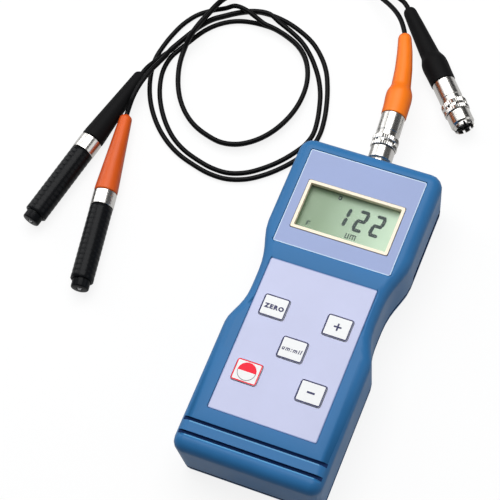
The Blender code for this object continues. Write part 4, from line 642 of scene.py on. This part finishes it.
def rounded(points, radius, steps=3):
    """Round the corners of a profile with short arcs."""
    result = [points[0]]
    for before, corner, after in zip(points, points[1:], points[2:]):
        here = Vector(corner)
        back = Vector(before) - here
        ahead = Vector(after) - here
        reach = min(radius, back.length * 0.45, ahead.length * 0.45)
        start = here + back.normalized() * reach
        end = here + ahead.normalized() * reach
        for step in range(steps + 1):
            share = step / steps
            point = start.lerp(here, share).lerp(here.lerp(end, share), share)
            result.append((point.x, point.y))
    result.append(points[-1])
    return result


def refined(node, *materials, angle=38.0):
    """A merged, smoothly shaded copy of a node that stands for the node itself."""
    source = frame["nodes"][node]
    piece = bpy.data.objects.new(f"{node}_finish", source.data.copy())
    bpy.context.scene.collection.objects.link(piece)
    pick(piece)
    edit()
    bpy.ops.mesh.select_all(action="SELECT")
    bpy.ops.mesh.remove_doubles(threshold=0.000004)
    select_parts(piece, "FACE", lambda face: not beside_keypad(face.center))
    bpy.ops.mesh.dissolve_limited(angle_limit=math.radians(0.1))
    bpy.ops.object.mode_set(mode="OBJECT")
    smooth(piece, angle)
    weighted = piece.modifiers.new("weighted", "WEIGHTED_NORMAL")
    weighted.keep_sharp = True
    apply_modifiers(piece)
    piece.data.materials.clear()
    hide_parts(node)
    return dress(piece, source["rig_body"], *materials)


def beside_keypad(point):
    """Whether a point lies on the waist's narrow strips, whose facets are left as they are."""
    return abs(point.x) > 0.0235 and -0.045 < point.y < 0.03


def block(name, low, high, corner=0.0, corner_steps=4, rim=0.0):
    """A cube sized between two corners, with its upright edges and top rim bevelled."""
    deselect()
    low = Vector(low)
    high = Vector(high)
    bpy.ops.mesh.primitive_cube_add(size=1.0, location=(low + high) / 2)
    piece = bpy.context.object
    piece.name = name
    piece.scale = high - low
    bpy.ops.object.transform_apply(location=True, rotation=False, scale=True)
    if corner:
        bevel_edges(piece, lambda a, b: abs(a.z - b.z) > 1e-6, corner, corner_steps)
    if rim:
        top = high.z - 1e-6
        bevel_edges(piece, lambda a, b: a.z > top and b.z > top, rim, 2)
    return piece


def bevel_edges(piece, wanted, width, steps):
    """Bevel the edges whose two ends pass a test."""
    points = piece.data.vertices
    select_parts(piece, "EDGE", lambda edge: wanted(*(points[i].co for i in edge.vertices)))
    bpy.ops.mesh.bevel(offset=width, segments=steps, profile=0.5, clamp_overlap=True)
    bpy.ops.object.mode_set(mode="OBJECT")


def lettering(name, words, size, place, weight=0.0, spacing=1.0, slant=0.0):
    """Flat printed characters of a width and height, as a thin mesh lying face up."""
    deselect()
    bpy.ops.object.text_add(location=(0.0, 0.0, 0.0))
    text = bpy.context.object
    text.name = name
    text.data.body = words
    text.data.size = 0.003
    text.data.align_x = "CENTER"
    text.data.align_y = "CENTER"
    text.data.extrude = 0.000025
    text.data.offset = weight
    text.data.space_character = spacing
    text.data.shear = slant
    text.data.resolution_u = 3
    bpy.ops.object.convert(target="MESH")
    piece = bpy.context.object
    corners = [Vector(corner) for corner in piece.bound_box]
    low, high = corners[0], corners[6]
    piece.location = -(low + high) / 2
    settle(piece)
    piece.scale = (size[0] / (high.x - low.x), size[1] / (high.y - low.y), 1.0)
    return settle(piece, Matrix.Translation(place))


def joined(pieces, name):
    """Join several meshes into the first one."""
    deselect()
    for piece in pieces:
        piece.select_set(True)
    bpy.context.view_layer.objects.active = pieces[0]
    bpy.ops.object.join()
    pieces[0].name = name
    return pieces[0]


# Cable lines
def smooth_points(route, steps=12):
    """Points on a centripetal curve through the route's own points."""
    padded = [2 * route[0] - route[1], *route, 2 * route[-1] - route[-2]]
    fine = []
    for corners in zip(padded, padded[1:], padded[2:], padded[3:]):
        knots = [0.0]
        for first, second in zip(corners, corners[1:]):
            knots.append(knots[-1] + max(math.sqrt((second - first).length), 1e-9))
        for step in range(steps):
            fine.append(blend_four(corners, knots, knots[1] + (knots[2] - knots[1]) * step / steps))
    fine.append(route[-1])
    return fine


def blend_four(corners, knots, at):
    level = list(corners)
    for depth in (1, 2):
        level = [mix(level[i], level[i + 1], knots[i], knots[i + depth], at)
                 for i in range(len(level) - 1)]
    return mix(level[0], level[1], knots[1], knots[2], at)


def mix(first, second, low, high, at):
    share = (at - low) / (high - low)
    return first * (1 - share) + second * share


def raised(route):
    return [tuple(value + lift for value, lift in zip(point, RAISE)) for point in route]


def cable(colour, route, start, boot_start, sweep):
    """One probe's cable, from its boot's tip into the plug's boot."""
    end = boot_start @ bend_frame(PLUG_BOOT_LENGTH, math.radians(sweep))
    ahead = Vector((0.0, 0.0, GAP + CABLE_LEAD))
    gap = Vector((0.0, 0.0, GAP))
    middle = [Vector(point) / 1000 for point in route]
    points = [start @ gap, *smooth_points([start @ ahead, *middle, end @ ahead])]
    for step in range(1, CABLE_RUN_STEPS + 1):
        distance = PLUG_BOOT_LENGTH - CABLE_RUN_IN * step / CABLE_RUN_STEPS
        inside = boot_start @ bend_frame(distance, math.radians(sweep))
        points.append(inside.translation)
    curve = bpy.data.curves.new(f"cable_{colour}_jacket", "CURVE")
    curve.dimensions = "3D"
    curve.bevel_depth = CABLE_RADIUS
    curve.bevel_resolution = 4
    curve.use_fill_caps = True
    spline = curve.splines.new("POLY")
    spline.points.add(len(points) - 1)
    for point, place in zip(spline.points, points):
        point.co = (*place, 1.0)
    jacket = bpy.data.objects.new(f"cable_{colour}_jacket", curve)
    bpy.context.scene.collection.objects.link(jacket)
    dress(jacket, "meter", "cable")
    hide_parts(f"cable_{colour}")
    return jacket


def bend_frame(distance, sweep):
    """The frame at a distance along an arc that leaves local Z and bends towards +X."""
    if abs(sweep) < 1e-6:
        return lifted(distance)
    angle = sweep * distance / PLUG_BOOT_LENGTH
    radius = PLUG_BOOT_LENGTH / sweep
    centre = Vector((radius * (1 - math.cos(angle)), 0.0, radius * math.sin(angle)))
    return Matrix.Translation(centre) @ Matrix.Rotation(angle, 4, "Y")


# Plugs
PLUG_BOOT_OUTLINE = [
    (0.0050, 0.0), (0.00602, 0.0), (0.00615, 0.0052), (0.00636, 0.0095),
    (0.0062, 0.0126), (0.0047, 0.0163), (0.0042, 0.026), (0.0037, 0.036),
    (0.0032, 0.0437), (0.0024, PLUG_BOOT_LENGTH), (0.0013, PLUG_BOOT_LENGTH),
]


def plug_boot(colour, place, sweep, finish):
    """Rubber boot: cuff, bulge, shoulder and a long neck, bent along its arc."""
    boot = turned(f"plug_boot_{colour}_rubber", rounded(PLUG_BOOT_OUTLINE, BOOT_ROUNDING, 5), 40,
                  sweep=math.radians(sweep))
    return finished(boot, f"plug_boot_{colour}", 50.0,
                    place @ lifted(PLUG_BOOT_START), "meter", finish)


def lock_ring(colour, place):
    """Sliding ring: two straight-knurled bands, and a groove with dark windows between."""
    groove = RING_RADIUS - RING_GROOVE_DEPTH
    second_band = RING_BAND + 0.0014
    profile = [
        (RING_BORE, 0.0), (RING_RADIUS - 0.0004, 0.0), (RING_RADIUS, 0.0003),
        (RING_RADIUS, RING_BAND - EDGE), (groove, RING_BAND), (groove, second_band - EDGE),
        (RING_RADIUS, second_band), (RING_RADIUS, second_band + RING_BAND - EDGE),
        (groove, second_band + RING_BAND), (groove, RING_LENGTH - EDGE),
        (groove - EDGE, RING_LENGTH), (RING_BORE, RING_LENGTH), (RING_BORE, 0.0),
    ]
    ring = turned(f"plug_ring_{colour}_metal", profile, 2 * RING_TEETH, through=True)
    select_parts(ring, "VERT", lambda point: between_teeth(point.co))
    factor = 1 - TOOTH_DEPTH / RING_RADIUS
    bpy.ops.transform.resize(value=(factor, factor, 1.0), center_override=(0.0, 0.0, 0.0))
    select_parts(ring, "FACE", lambda face: in_window(face.center, groove))
    bpy.ops.mesh.inset(thickness=0.00012)
    bpy.ops.transform.resize(value=(0.97, 0.97, 1.0), center_override=(0.0, 0.0, 0.0))
    bpy.ops.object.mode_set(mode="OBJECT")
    for face in ring.data.polygons:
        if face.select:
            face.material_index = 1
    return finished(ring, f"plug_ring_{colour}", 25.0,
                    place @ lifted(RING_START), f"ring_{colour}",
                    "chrome", "black_plastic")


def between_teeth(point):
    column = round(math.atan2(point.y, point.x) * RING_TEETH / math.pi)
    return math.hypot(point.x, point.y) > RING_RADIUS - 0.00001 and column % 2 == 1


def in_window(centre, groove):
    """Whether a face belongs to one of eight short windows in the ring's groove."""
    angle = math.degrees(math.atan2(centre.y, centre.x)) % 45.0
    reach = math.hypot(centre.x, centre.y)
    in_groove = abs(centre.z - RING_BAND - 0.0006) < 0.0005
    return in_groove and abs(reach - groove) < 0.00002 and angle < 17.0


def plug_shell(colour, place):
    """Turned shell: slotted collet, nose, ring seat, barrel and the tail in the boot."""
    barrel_end = PLUG_BOOT_START - GAP
    profile = [
        (SHELL_BORE, 0.0), (COLLET_RADIUS - EDGE, 0.0), (COLLET_RADIUS, EDGE),
        (COLLET_RADIUS, COLLET_LENGTH), (NOSE_RADIUS - 0.0006, COLLET_LENGTH),
        (NOSE_RADIUS, COLLET_LENGTH + 0.0007), (NOSE_RADIUS, NOSE_END - EDGE),
        (NOSE_RADIUS - EDGE, NOSE_END), (RING_SEAT_RADIUS, NOSE_END),
        (RING_SEAT_RADIUS, RING_STOP), (SHELL_RADIUS - EDGE, RING_STOP),
        (SHELL_RADIUS, RING_STOP + EDGE), (SHELL_RADIUS, barrel_end),
        (SHELL_TAIL_RADIUS, barrel_end), (SHELL_TAIL_RADIUS, SHELL_TAIL_END),
        (SHELL_CABLE_BORE, SHELL_TAIL_END), (SHELL_CABLE_BORE, SHELL_BORE_END),
        (SHELL_BORE, SHELL_BORE_END), (SHELL_BORE, 0.0),
    ]
    shell = turned(f"plug_shell_{colour}_metal", profile, 48, through=True)
    for slot in range(COLLET_SLOTS):
        cutter = block("collet_cutter", (-NOSE_RADIUS, -COLLET_SLOT_WIDTH / 2, -0.001),
                       (NOSE_RADIUS, COLLET_SLOT_WIDTH / 2, COLLET_LENGTH - EDGE))
        settle(cutter, Matrix.Rotation(math.pi * slot / COLLET_SLOTS, 4, "Z"))
        carve(shell, cutter)
    return finished(shell, f"plug_shell_{colour}", 30.0, place, "meter", "chrome")


def carve(piece, cutter):
    """Cut one piece with another, which is then removed."""
    step = piece.modifiers.new("carve", "BOOLEAN")
    step.operation = "DIFFERENCE"
    step.solver = "EXACT"
    step.object = cutter
    apply_modifiers(piece)
    bpy.data.objects.remove(cutter, do_unlink=True)


def plug(colour, place, sweep, finish):
    boot = plug_boot(colour, place, sweep, finish)
    ring = lock_ring(colour, place)
    shell = plug_shell(colour, place)
    insert = refined(f"plug_insert_{colour}", "black_plastic", angle=30.0)
    return [boot, ring, shell, insert]


# Probes
PROBE_BOOT_OUTLINE = [
    (0.0039, 0.0445), (0.0039, PROBE_BOOT_START), (0.0057, PROBE_BOOT_START),
    (0.0056, 0.0538), (0.0044, 0.0721), (0.0031, PROBE_BOOT_END - 0.0014),
    (0.0016, PROBE_BOOT_END), (0.0012, PROBE_BOOT_END),
]


def probe(colour, place, finish):
    """Sprung head, ribbed grip, chromed band, tapered rubber boot, hard tip and spring."""
    head = turned(f"probe_head_{colour}_turned", [
        (TIP_SEAT_RADIUS, TIP_SEAT_DEPTH), (TIP_SEAT_RADIUS, 0.0), (HEAD_RADIUS - 0.0006, 0.0),
        (HEAD_RADIUS - EDGE, EDGE), (HEAD_RADIUS, 0.0006), (HEAD_RADIUS, HEAD_END - EDGE),
        (HEAD_RADIUS - EDGE, HEAD_END),
    ], 40)
    finished(head, f"probe_head_{colour}", 40.0, place, f"head_{colour}", "grip")
    grip = turned(f"probe_grip_{colour}_ribs", grip_profile(), 48, through=True)
    finished(grip, f"probe_grip_{colour}", 45.0, place, "meter", "grip")
    band = turned(f"probe_band_{colour}_metal", [
        (BAND_BORE, BAND_START), (BAND_RADIUS - EDGE, BAND_START),
        (BAND_RADIUS, BAND_START + EDGE), (BAND_RADIUS, BAND_END - EDGE),
        (BAND_RADIUS - EDGE, BAND_END), (BAND_BORE, BAND_END), (BAND_BORE, BAND_START),
    ], 48, through=True)
    finished(band, f"probe_band_{colour}", 30.0, place, "meter", "chrome")
    boot = turned(f"probe_boot_{colour}_rubber", rounded(PROBE_BOOT_OUTLINE, BOOT_ROUNDING, 5), 40)
    finished(boot, f"probe_boot_{colour}", 50.0, place, "meter", finish)
    refined(f"probe_tip_{colour}", "steel", angle=25.0)
    head_spring(colour)


def head_spring(colour):
    """The spring behind a head, given a mesh of its own."""
    spring = refined(f"probe_spring_{colour}", "steel", angle=60.0)
    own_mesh(spring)


def grip_profile():
    """Out along the grip's shallow ribs and back through its stepped bore."""
    margin = (GRIP_END - GRIP_START - (GRIP_GROOVES - 1) * GRIP_GROOVE_PITCH) / 2
    profile = [(GRIP_BORE, GRIP_START), (GRIP_RADIUS - 0.0003, GRIP_START),
               (GRIP_RADIUS, GRIP_START + 0.0003)]
    steps = 8
    for groove in range(GRIP_GROOVES):
        middle = GRIP_START + margin + groove * GRIP_GROOVE_PITCH
        for step in range(steps):
            share = step / steps - 0.5
            depth = GRIP_GROOVE_DEPTH * (0.5 + 0.5 * math.cos(2 * math.pi * share)) ** 3
            profile.append((GRIP_RADIUS - depth, middle + share * GRIP_GROOVE_PITCH))
    return profile + [(GRIP_RADIUS, GRIP_END - EDGE), (GRIP_RADIUS - EDGE, GRIP_END),
                      (GRIP_CABLE_BORE, GRIP_END), (GRIP_CABLE_BORE, GRIP_BORE_END),
                      (GRIP_BORE, GRIP_BORE_END), (GRIP_BORE, GRIP_START)]


def probe_sets():
    angle = math.radians(PLUG_LEAN)
    along = Vector((math.cos(angle), math.sin(angle), 0.0))
    orange_plug = axis_frame(SOCKET_FACE + along * (PLUG_SEAT_GAP - COLLET_LENGTH), PLUG_LEAN)
    black_plug = axis_frame(BLACK_PLUG_NOSE, BLACK_PLUG_HEADING)
    orange_probe = axis_frame(ORANGE_PROBE_NOSE, ORANGE_PROBE_HEADING)
    black_probe = axis_frame(BLACK_PROBE_NOSE, BLACK_PROBE_HEADING)
    orange_pieces = plug("orange", orange_plug, ORANGE_BOOT_SWEEP, "orange")
    black_pieces = plug("black", black_plug, 0.0, "rubber")
    probe("orange", orange_probe, "rust")
    probe("black", black_probe, "rubber")
    tip = lifted(PROBE_BOOT_END)
    boot = lifted(PLUG_BOOT_START)
    black_route = (BLACK_START + LEAD_TOP + BLACK_OUTER_TURN + raised(INNER_TURN)
                   + raised(LEAVING) + BLACK_END)
    orange_route = (ORANGE_START + raised(LEAD_TOP) + ORANGE_OUTER_TURN + INNER_TURN + LEAVING
                    + ORANGE_END)
    cable("black", black_route, black_probe @ tip, black_plug @ boot, 0.0)
    cable("orange", orange_route, orange_probe @ tip, orange_plug @ boot, ORANGE_BOOT_SWEEP)


# Display
INK_GAP = 0.00002
INK_THICKNESS = 0.00006
BAR_HALF_SIZE = (0.00082, 0.00218)
DIGIT_SIZE = (0.0036, 0.00485)
DIGIT_SLANT = 0.1
DIGIT_MIDDLE_Y = 0.04815
DIGIT_STARTS = (-0.00485, 0.0037, 0.0116)
SIGN_CORNERS = {
    "reading_unit": (0.0011, 0.0382),
    "reading_flag": (-0.0178, 0.0387),
    "reading_mark": (-0.0083, 0.0554),
}
SIGN_BARS = {
    "reading_unit": [
        (0.0, 0.0, 0.48, 2.5), (1.2, 0.0, 1.68, 2.5), (0.48, 0.0, 1.2, 0.45),
        (2.3, 0.0, 2.78, 2.5), (3.4, 0.0, 3.88, 2.05), (4.5, 0.0, 4.98, 2.5),
        (2.78, 2.05, 4.5, 2.5),
    ],
    "reading_flag": [(0.0, 0.0, 0.5, 2.4), (0.5, 1.9, 1.7, 2.4), (0.5, 0.85, 1.5, 1.3)],
    "reading_mark": [
        (0.0, 0.0, 0.5, 2.1), (1.1, 0.0, 1.6, 2.1), (0.5, 0.0, 1.1, 0.5),
        (0.5, 1.6, 1.1, 2.1),
    ],
}


def segment(name, centre, upright):
    """One bar of a digit: a thin block whose two ends come to a point."""
    half = BAR_HALF_SIZE if upright else BAR_HALF_SIZE[::-1]
    bar = block(name, (centre[0] - half[0], centre[1] - half[1], 0.0),
                (centre[0] + half[0], centre[1] + half[1], INK_THICKNESS))
    bevel_edges(bar, lambda a, b: abs(a.z - b.z) > 1e-6, 0.75 * BAR_HALF_SIZE[0], 1)
    if upright:
        for side in (-1, 1):
            select_parts(bar, "VERT", lambda point: side * (point.co.y - centre[1]) > 0.0001)
            bpy.ops.transform.translate(value=(side * DIGIT_SLANT * 0.8 * half[1], 0.0, 0.0))
            bpy.ops.object.mode_set(mode="OBJECT")
    return bar


def digit(name, x, lit):
    """A slanted seven-bar digit about its middle height; lit names the bars that show."""
    width, step = DIGIT_SIZE
    places = {
        "top": (0.5, 1.0, False), "middle": (0.5, 0.0, False), "bottom": (0.5, -1.0, False),
        "upper_left": (0.0, 0.5, True), "upper_right": (1.0, 0.5, True),
        "lower_left": (0.0, -0.5, True), "lower_right": (1.0, -0.5, True),
    }
    bars = []
    for bar in lit:
        across, up, upright = places[bar]
        centre = (x + across * width + DIGIT_SLANT * up * step, DIGIT_MIDDLE_Y + up * step)
        bars.append(segment(f"{name}_{bar}", centre, upright))
    return joined(bars, name)


def small_sign(name, height):
    """A small sign of thin bars, each given by its low and high corner in millimetres."""
    left, low = SIGN_CORNERS[name]
    bars = []
    for corners in SIGN_BARS[name]:
        x1, y1, x2, y2 = (value / 1000 for value in corners)
        bars.append(block(f"{name}_bar", (left + x1, low + y1, height),
                          (left + x2, low + y2, height + INK_THICKNESS)))
    return joined(bars, name)


def reading():
    """Three slanted digits and small plain signs, on the LCD's surface."""
    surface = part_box("lcd_panel")[1].z
    two = ("top", "upper_right", "middle", "lower_left", "bottom")
    one = ("upper_right", "lower_right")
    digits = [digit("digit_hundreds", DIGIT_STARTS[0], one),
              digit("digit_tens", DIGIT_STARTS[1], two),
              digit("digit_units", DIGIT_STARTS[2], two)]
    number = joined(digits, "reading_digits")
    settle(number, lifted(surface + INK_GAP))
    signs = [small_sign(name, surface + INK_GAP) for name in SIGN_BARS]
    for piece in (number, *signs):
        dress(piece, "meter", "ink")


# Keys
KEY_RIM = 0.00015
KEY_MARGIN = 0.00004
KEY_BORDER = 0.00038
KEY_PLAIN_INSET = 0.0008
SIGN_GAP = 0.00001
SIGN_TOP = 0.00006
PLUS_BAR = 0.00075
PLUS_ARM = 0.0014
MINUS_SIZE = (0.0036, 0.0009)
DISC_RADIUS = 0.0043
DISC_LINE = 0.0003


def key_cap(name):
    """A cap with a bevelled rim, a printed border line and a hidden flange below."""
    x, y = KEY_PLACES[name]
    half = (KEY_WIDTH / 2, KEY_HEIGHT / 2)
    cap = block(f"{name}_cap", (x - half[0], y - half[1], KEY_FLANGE_TOP - 0.0001),
                (x + half[0], y + half[1], KEY_TOP), KEY_CORNER, 5, KEY_RIM)
    border = "red" if name == "key_power" else "navy"
    for finish in ("key", border):
        cap.data.materials.append(MATERIALS[finish])
    select_parts(cap, "FACE", lambda face: face.normal.z > 0.9 and face.area > 0.00001)
    bpy.ops.mesh.inset(thickness=KEY_MARGIN)
    bpy.ops.mesh.inset(thickness=KEY_BORDER)
    bpy.ops.object.mode_set(mode="OBJECT")
    for face in cap.data.polygons:
        reach_x, reach_y = abs(face.center.x - x), abs(face.center.y - y)
        off_centre = max(reach_x - half[0], reach_y - half[1]) > -KEY_PLAIN_INSET
        if face.normal.z > 0.9 and off_centre:
            face.material_index = 1
    flange = block(f"{name}_flange",
                   (x - half[0] - KEY_FLANGE, y - half[1] - KEY_FLANGE, KEY_FLANGE_BACK),
                   (x + half[0] + KEY_FLANGE, y + half[1] + KEY_FLANGE, KEY_FLANGE_TOP),
                   KEY_CORNER, 3)
    flange.data.materials.append(MATERIALS["key"])
    piece = joined([cap, flange], f"{name}_cap")
    smooth(piece, 30.0)
    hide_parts(name)
    return dress(piece, name)


def bar_sign(name, key, width, height):
    x, y = KEY_PLACES[key]
    return block(name, (x - width / 2, y - height / 2, KEY_TOP + SIGN_GAP),
                 (x + width / 2, y + height / 2, KEY_TOP + SIGN_TOP))


def key_signs():
    """Printed signs: plus, minus, a zeroing word, a unit word and a half-filled circle."""
    plus = bar_sign("plus_sign", "key_plus", PLUS_BAR, PLUS_BAR)
    select_parts(plus, "FACE", lambda face: abs(face.normal.z) < 0.5)
    bpy.ops.mesh.extrude_faces_move(TRANSFORM_OT_shrink_fatten={"value": PLUS_ARM})
    bpy.ops.object.mode_set(mode="OBJECT")
    dress(plus, "key_plus", "navy")
    dress(bar_sign("minus_sign", "key_minus", *MINUS_SIZE), "key_minus", "navy")
    words = (("zero_sign", "key_zero", "ZERO", (0.0092, 0.0023), 0.00017, 1.25, 0.0),
             ("unit_sign", "key_unit", "um:mil", (0.0092, 0.0021), 0.00009, 1.3, 0.15))
    for name, key, word, size, weight, spacing, slant in words:
        x, y = KEY_PLACES[key]
        sign = lettering(name, word, size, (x, y - 0.0003, KEY_TOP + 0.00004), weight, spacing,
                         slant)
        dress(sign, key, "navy")
    half_disc()


def half_disc():
    """The power key's sign: a thin ring with its upper half filled in red."""
    x, y = KEY_PLACES["key_power"]
    deselect()
    bpy.ops.mesh.primitive_circle_add(vertices=48, radius=DISC_RADIUS, fill_type="NGON",
                                      location=(x, y, KEY_TOP + 0.00002))
    disc = bpy.context.object
    disc.name = "power_sign"
    bpy.ops.object.transform_apply(location=True, rotation=False, scale=False)
    edit()
    bpy.ops.mesh.select_all(action="SELECT")
    bpy.ops.mesh.inset(thickness=DISC_LINE)
    bpy.ops.mesh.select_all(action="SELECT")
    bpy.ops.mesh.bisect(plane_co=(x, y, 0.0), plane_no=(0.0, 1.0, 0.0))
    bpy.ops.mesh.select_all(action="SELECT")
    bpy.ops.mesh.extrude_region_move(TRANSFORM_OT_translate={"value": (0.0, 0.0, 0.00004)})
    bpy.ops.mesh.select_all(action="SELECT")
    bpy.ops.mesh.normals_make_consistent(inside=False)
    bpy.ops.object.mode_set(mode="OBJECT")
    for face in disc.data.polygons:
        reach = math.hypot(face.center.x - x, face.center.y - y)
        if face.center.y > y:
            face.material_index = 1
        elif reach > DISC_RADIUS - DISC_LINE - 0.0001:
            face.material_index = 2
    dress(disc, "key_power", "key", "red", "grey")


# Meter
def meter():
    """The meter's own forms with their finishes."""
    for node in ("front_cover", "rear_cover", "battery_cover"):
        refined(node, "shell", angle=34.0)
    finishes = {
        "display_label": "display_label", "keypad_label": "keypad_label",
        "display_bezel": "bezel", "display_window": "window", "lcd_panel": "lcd",
        "probe_socket": "chrome", "socket_nut": "chrome", "socket_insert": "black_plastic",
        "lcd_holder": "grey", "circuit_board": "board",
    }
    for node, finish in finishes.items():
        refined(node, finish)
    for number in range(1, 3):
        refined(f"contact_strip_{number}", "grey")
    for number in range(1, 5):
        refined(f"case_screw_{number}", "steel", angle=30.0)
        refined(f"board_screw_{number}", "steel", angle=30.0)
        refined(f"battery_{number}", "cell")
    for number in range(1, 6):
        refined(f"battery_contact_{number}", "steel")


# Stage
def photograph_camera():
    data = bpy.data.cameras.new("camera")
    data.lens = LENS
    data.sensor_width = 36.0
    data.clip_end = 20.0
    camera = bpy.data.objects.new("camera", data)
    bpy.context.scene.collection.objects.link(camera)
    turn = Matrix((CAMERA_RIGHT, -CAMERA_DOWN, -CAMERA_AHEAD)).transposed().to_4x4()
    camera.matrix_world = Matrix.Translation(CAMERA_PLACE) @ turn
    bpy.context.scene.camera = camera


def area_light(name, place, size, watts, target=(-0.03, 0.03, 0.0)):
    data = bpy.data.lights.new(name, "AREA")
    data.shape = "RECTANGLE"
    data.size, data.size_y = size
    data.energy = watts
    light = bpy.data.objects.new(name, data)
    bpy.context.scene.collection.objects.link(light)
    light.location = place
    light.rotation_euler = (Vector(target) - Vector(place)).to_track_quat("-Z", "Y").to_euler()


def background_share(tree, glossy):
    """How white the backdrop is: all for the camera and through clear parts, less for gloss."""
    path = add_node(tree, "LightPath").outputs
    seen = calculate(tree, "MAXIMUM", path["Is Camera Ray"], path["Is Transmission Ray"])
    mirrored = calculate(tree, "MULTIPLY", path["Is Glossy Ray"], glossy)
    return calculate(tree, "MAXIMUM", seen, mirrored)


def floor():
    """A pale floor that keeps the shadows and fades to the backdrop's white."""
    bpy.ops.mesh.primitive_plane_add(size=6.0, location=(0.0, 0.0, -0.0002))
    ground = bpy.context.object
    ground.name = "floor"
    material, tree, shader = start_material("pale_floor")
    path = add_node(tree, "LightPath").outputs
    tone = mixed_colour(tree, (*FLOOR_BOUNCE, 1.0), (*FLOOR_SEEN, 1.0), path["Is Camera Ray"])
    feed(tree, shader, {"Base Color": tone, "Roughness": 0.9})
    white = add_node(tree, "Emission", {"Strength": 1.0})
    share = calculate(tree, "MULTIPLY", background_share(tree, FLOOR_MIRRORED_SHARE),
                      FLOOR_WHITE_SHARE)
    blend = add_node(tree, "MixShader", {0: share, 1: shader.outputs["BSDF"],
                                         2: white.outputs["Emission"]})
    feed(tree, tree.nodes["Material Output"], {"Surface": blend.outputs[0]})
    ground.data.materials.append(material)


def studio():
    """Soft lamps round the part, a white backdrop for the camera and a dim one for gloss."""
    scene = bpy.context.scene
    scene.view_settings.view_transform = "Standard"
    world = bpy.data.worlds.new("studio")
    scene.world = world
    world.use_nodes = True
    tree = world.node_tree
    ambient = tree.nodes["Background"]
    feed(tree, ambient, {"Color": (0.93, 0.96, 1.0, 1.0), "Strength": 0.17})
    mirrored = add_node(tree, "Background", {"Strength": 0.05})
    backdrop = add_node(tree, "Background", {"Strength": 1.0})
    path = add_node(tree, "LightPath").outputs
    unseen = add_node(tree, "MixShader", {0: path["Is Glossy Ray"], 1: ambient.outputs[0],
                                          2: mirrored.outputs[0]})
    whole = add_node(tree, "MixShader", {0: path["Is Camera Ray"], 1: unseen.outputs[0],
                                         2: backdrop.outputs[0]})
    feed(tree, tree.nodes["World Output"], {"Surface": whole.outputs[0]})
    area_light("top_softbox", (-0.14, 0.36, 0.95), (0.9, 1.0), 11.0, (-0.1, 0.05, 0.0))
    area_light("left_softbox", (-1.0, 0.35, 0.55), (0.5, 1.0), 4.2)
    area_light("right_fill", (1.1, 0.25, 0.5), (0.6, 0.9), 2.0)
    floor()


def main():
    photograph_camera()
    probe_sets()
    meter()
    for name in KEY_PLACES:
        key_cap(name)
    key_signs()
    reading()
    studio()


main()
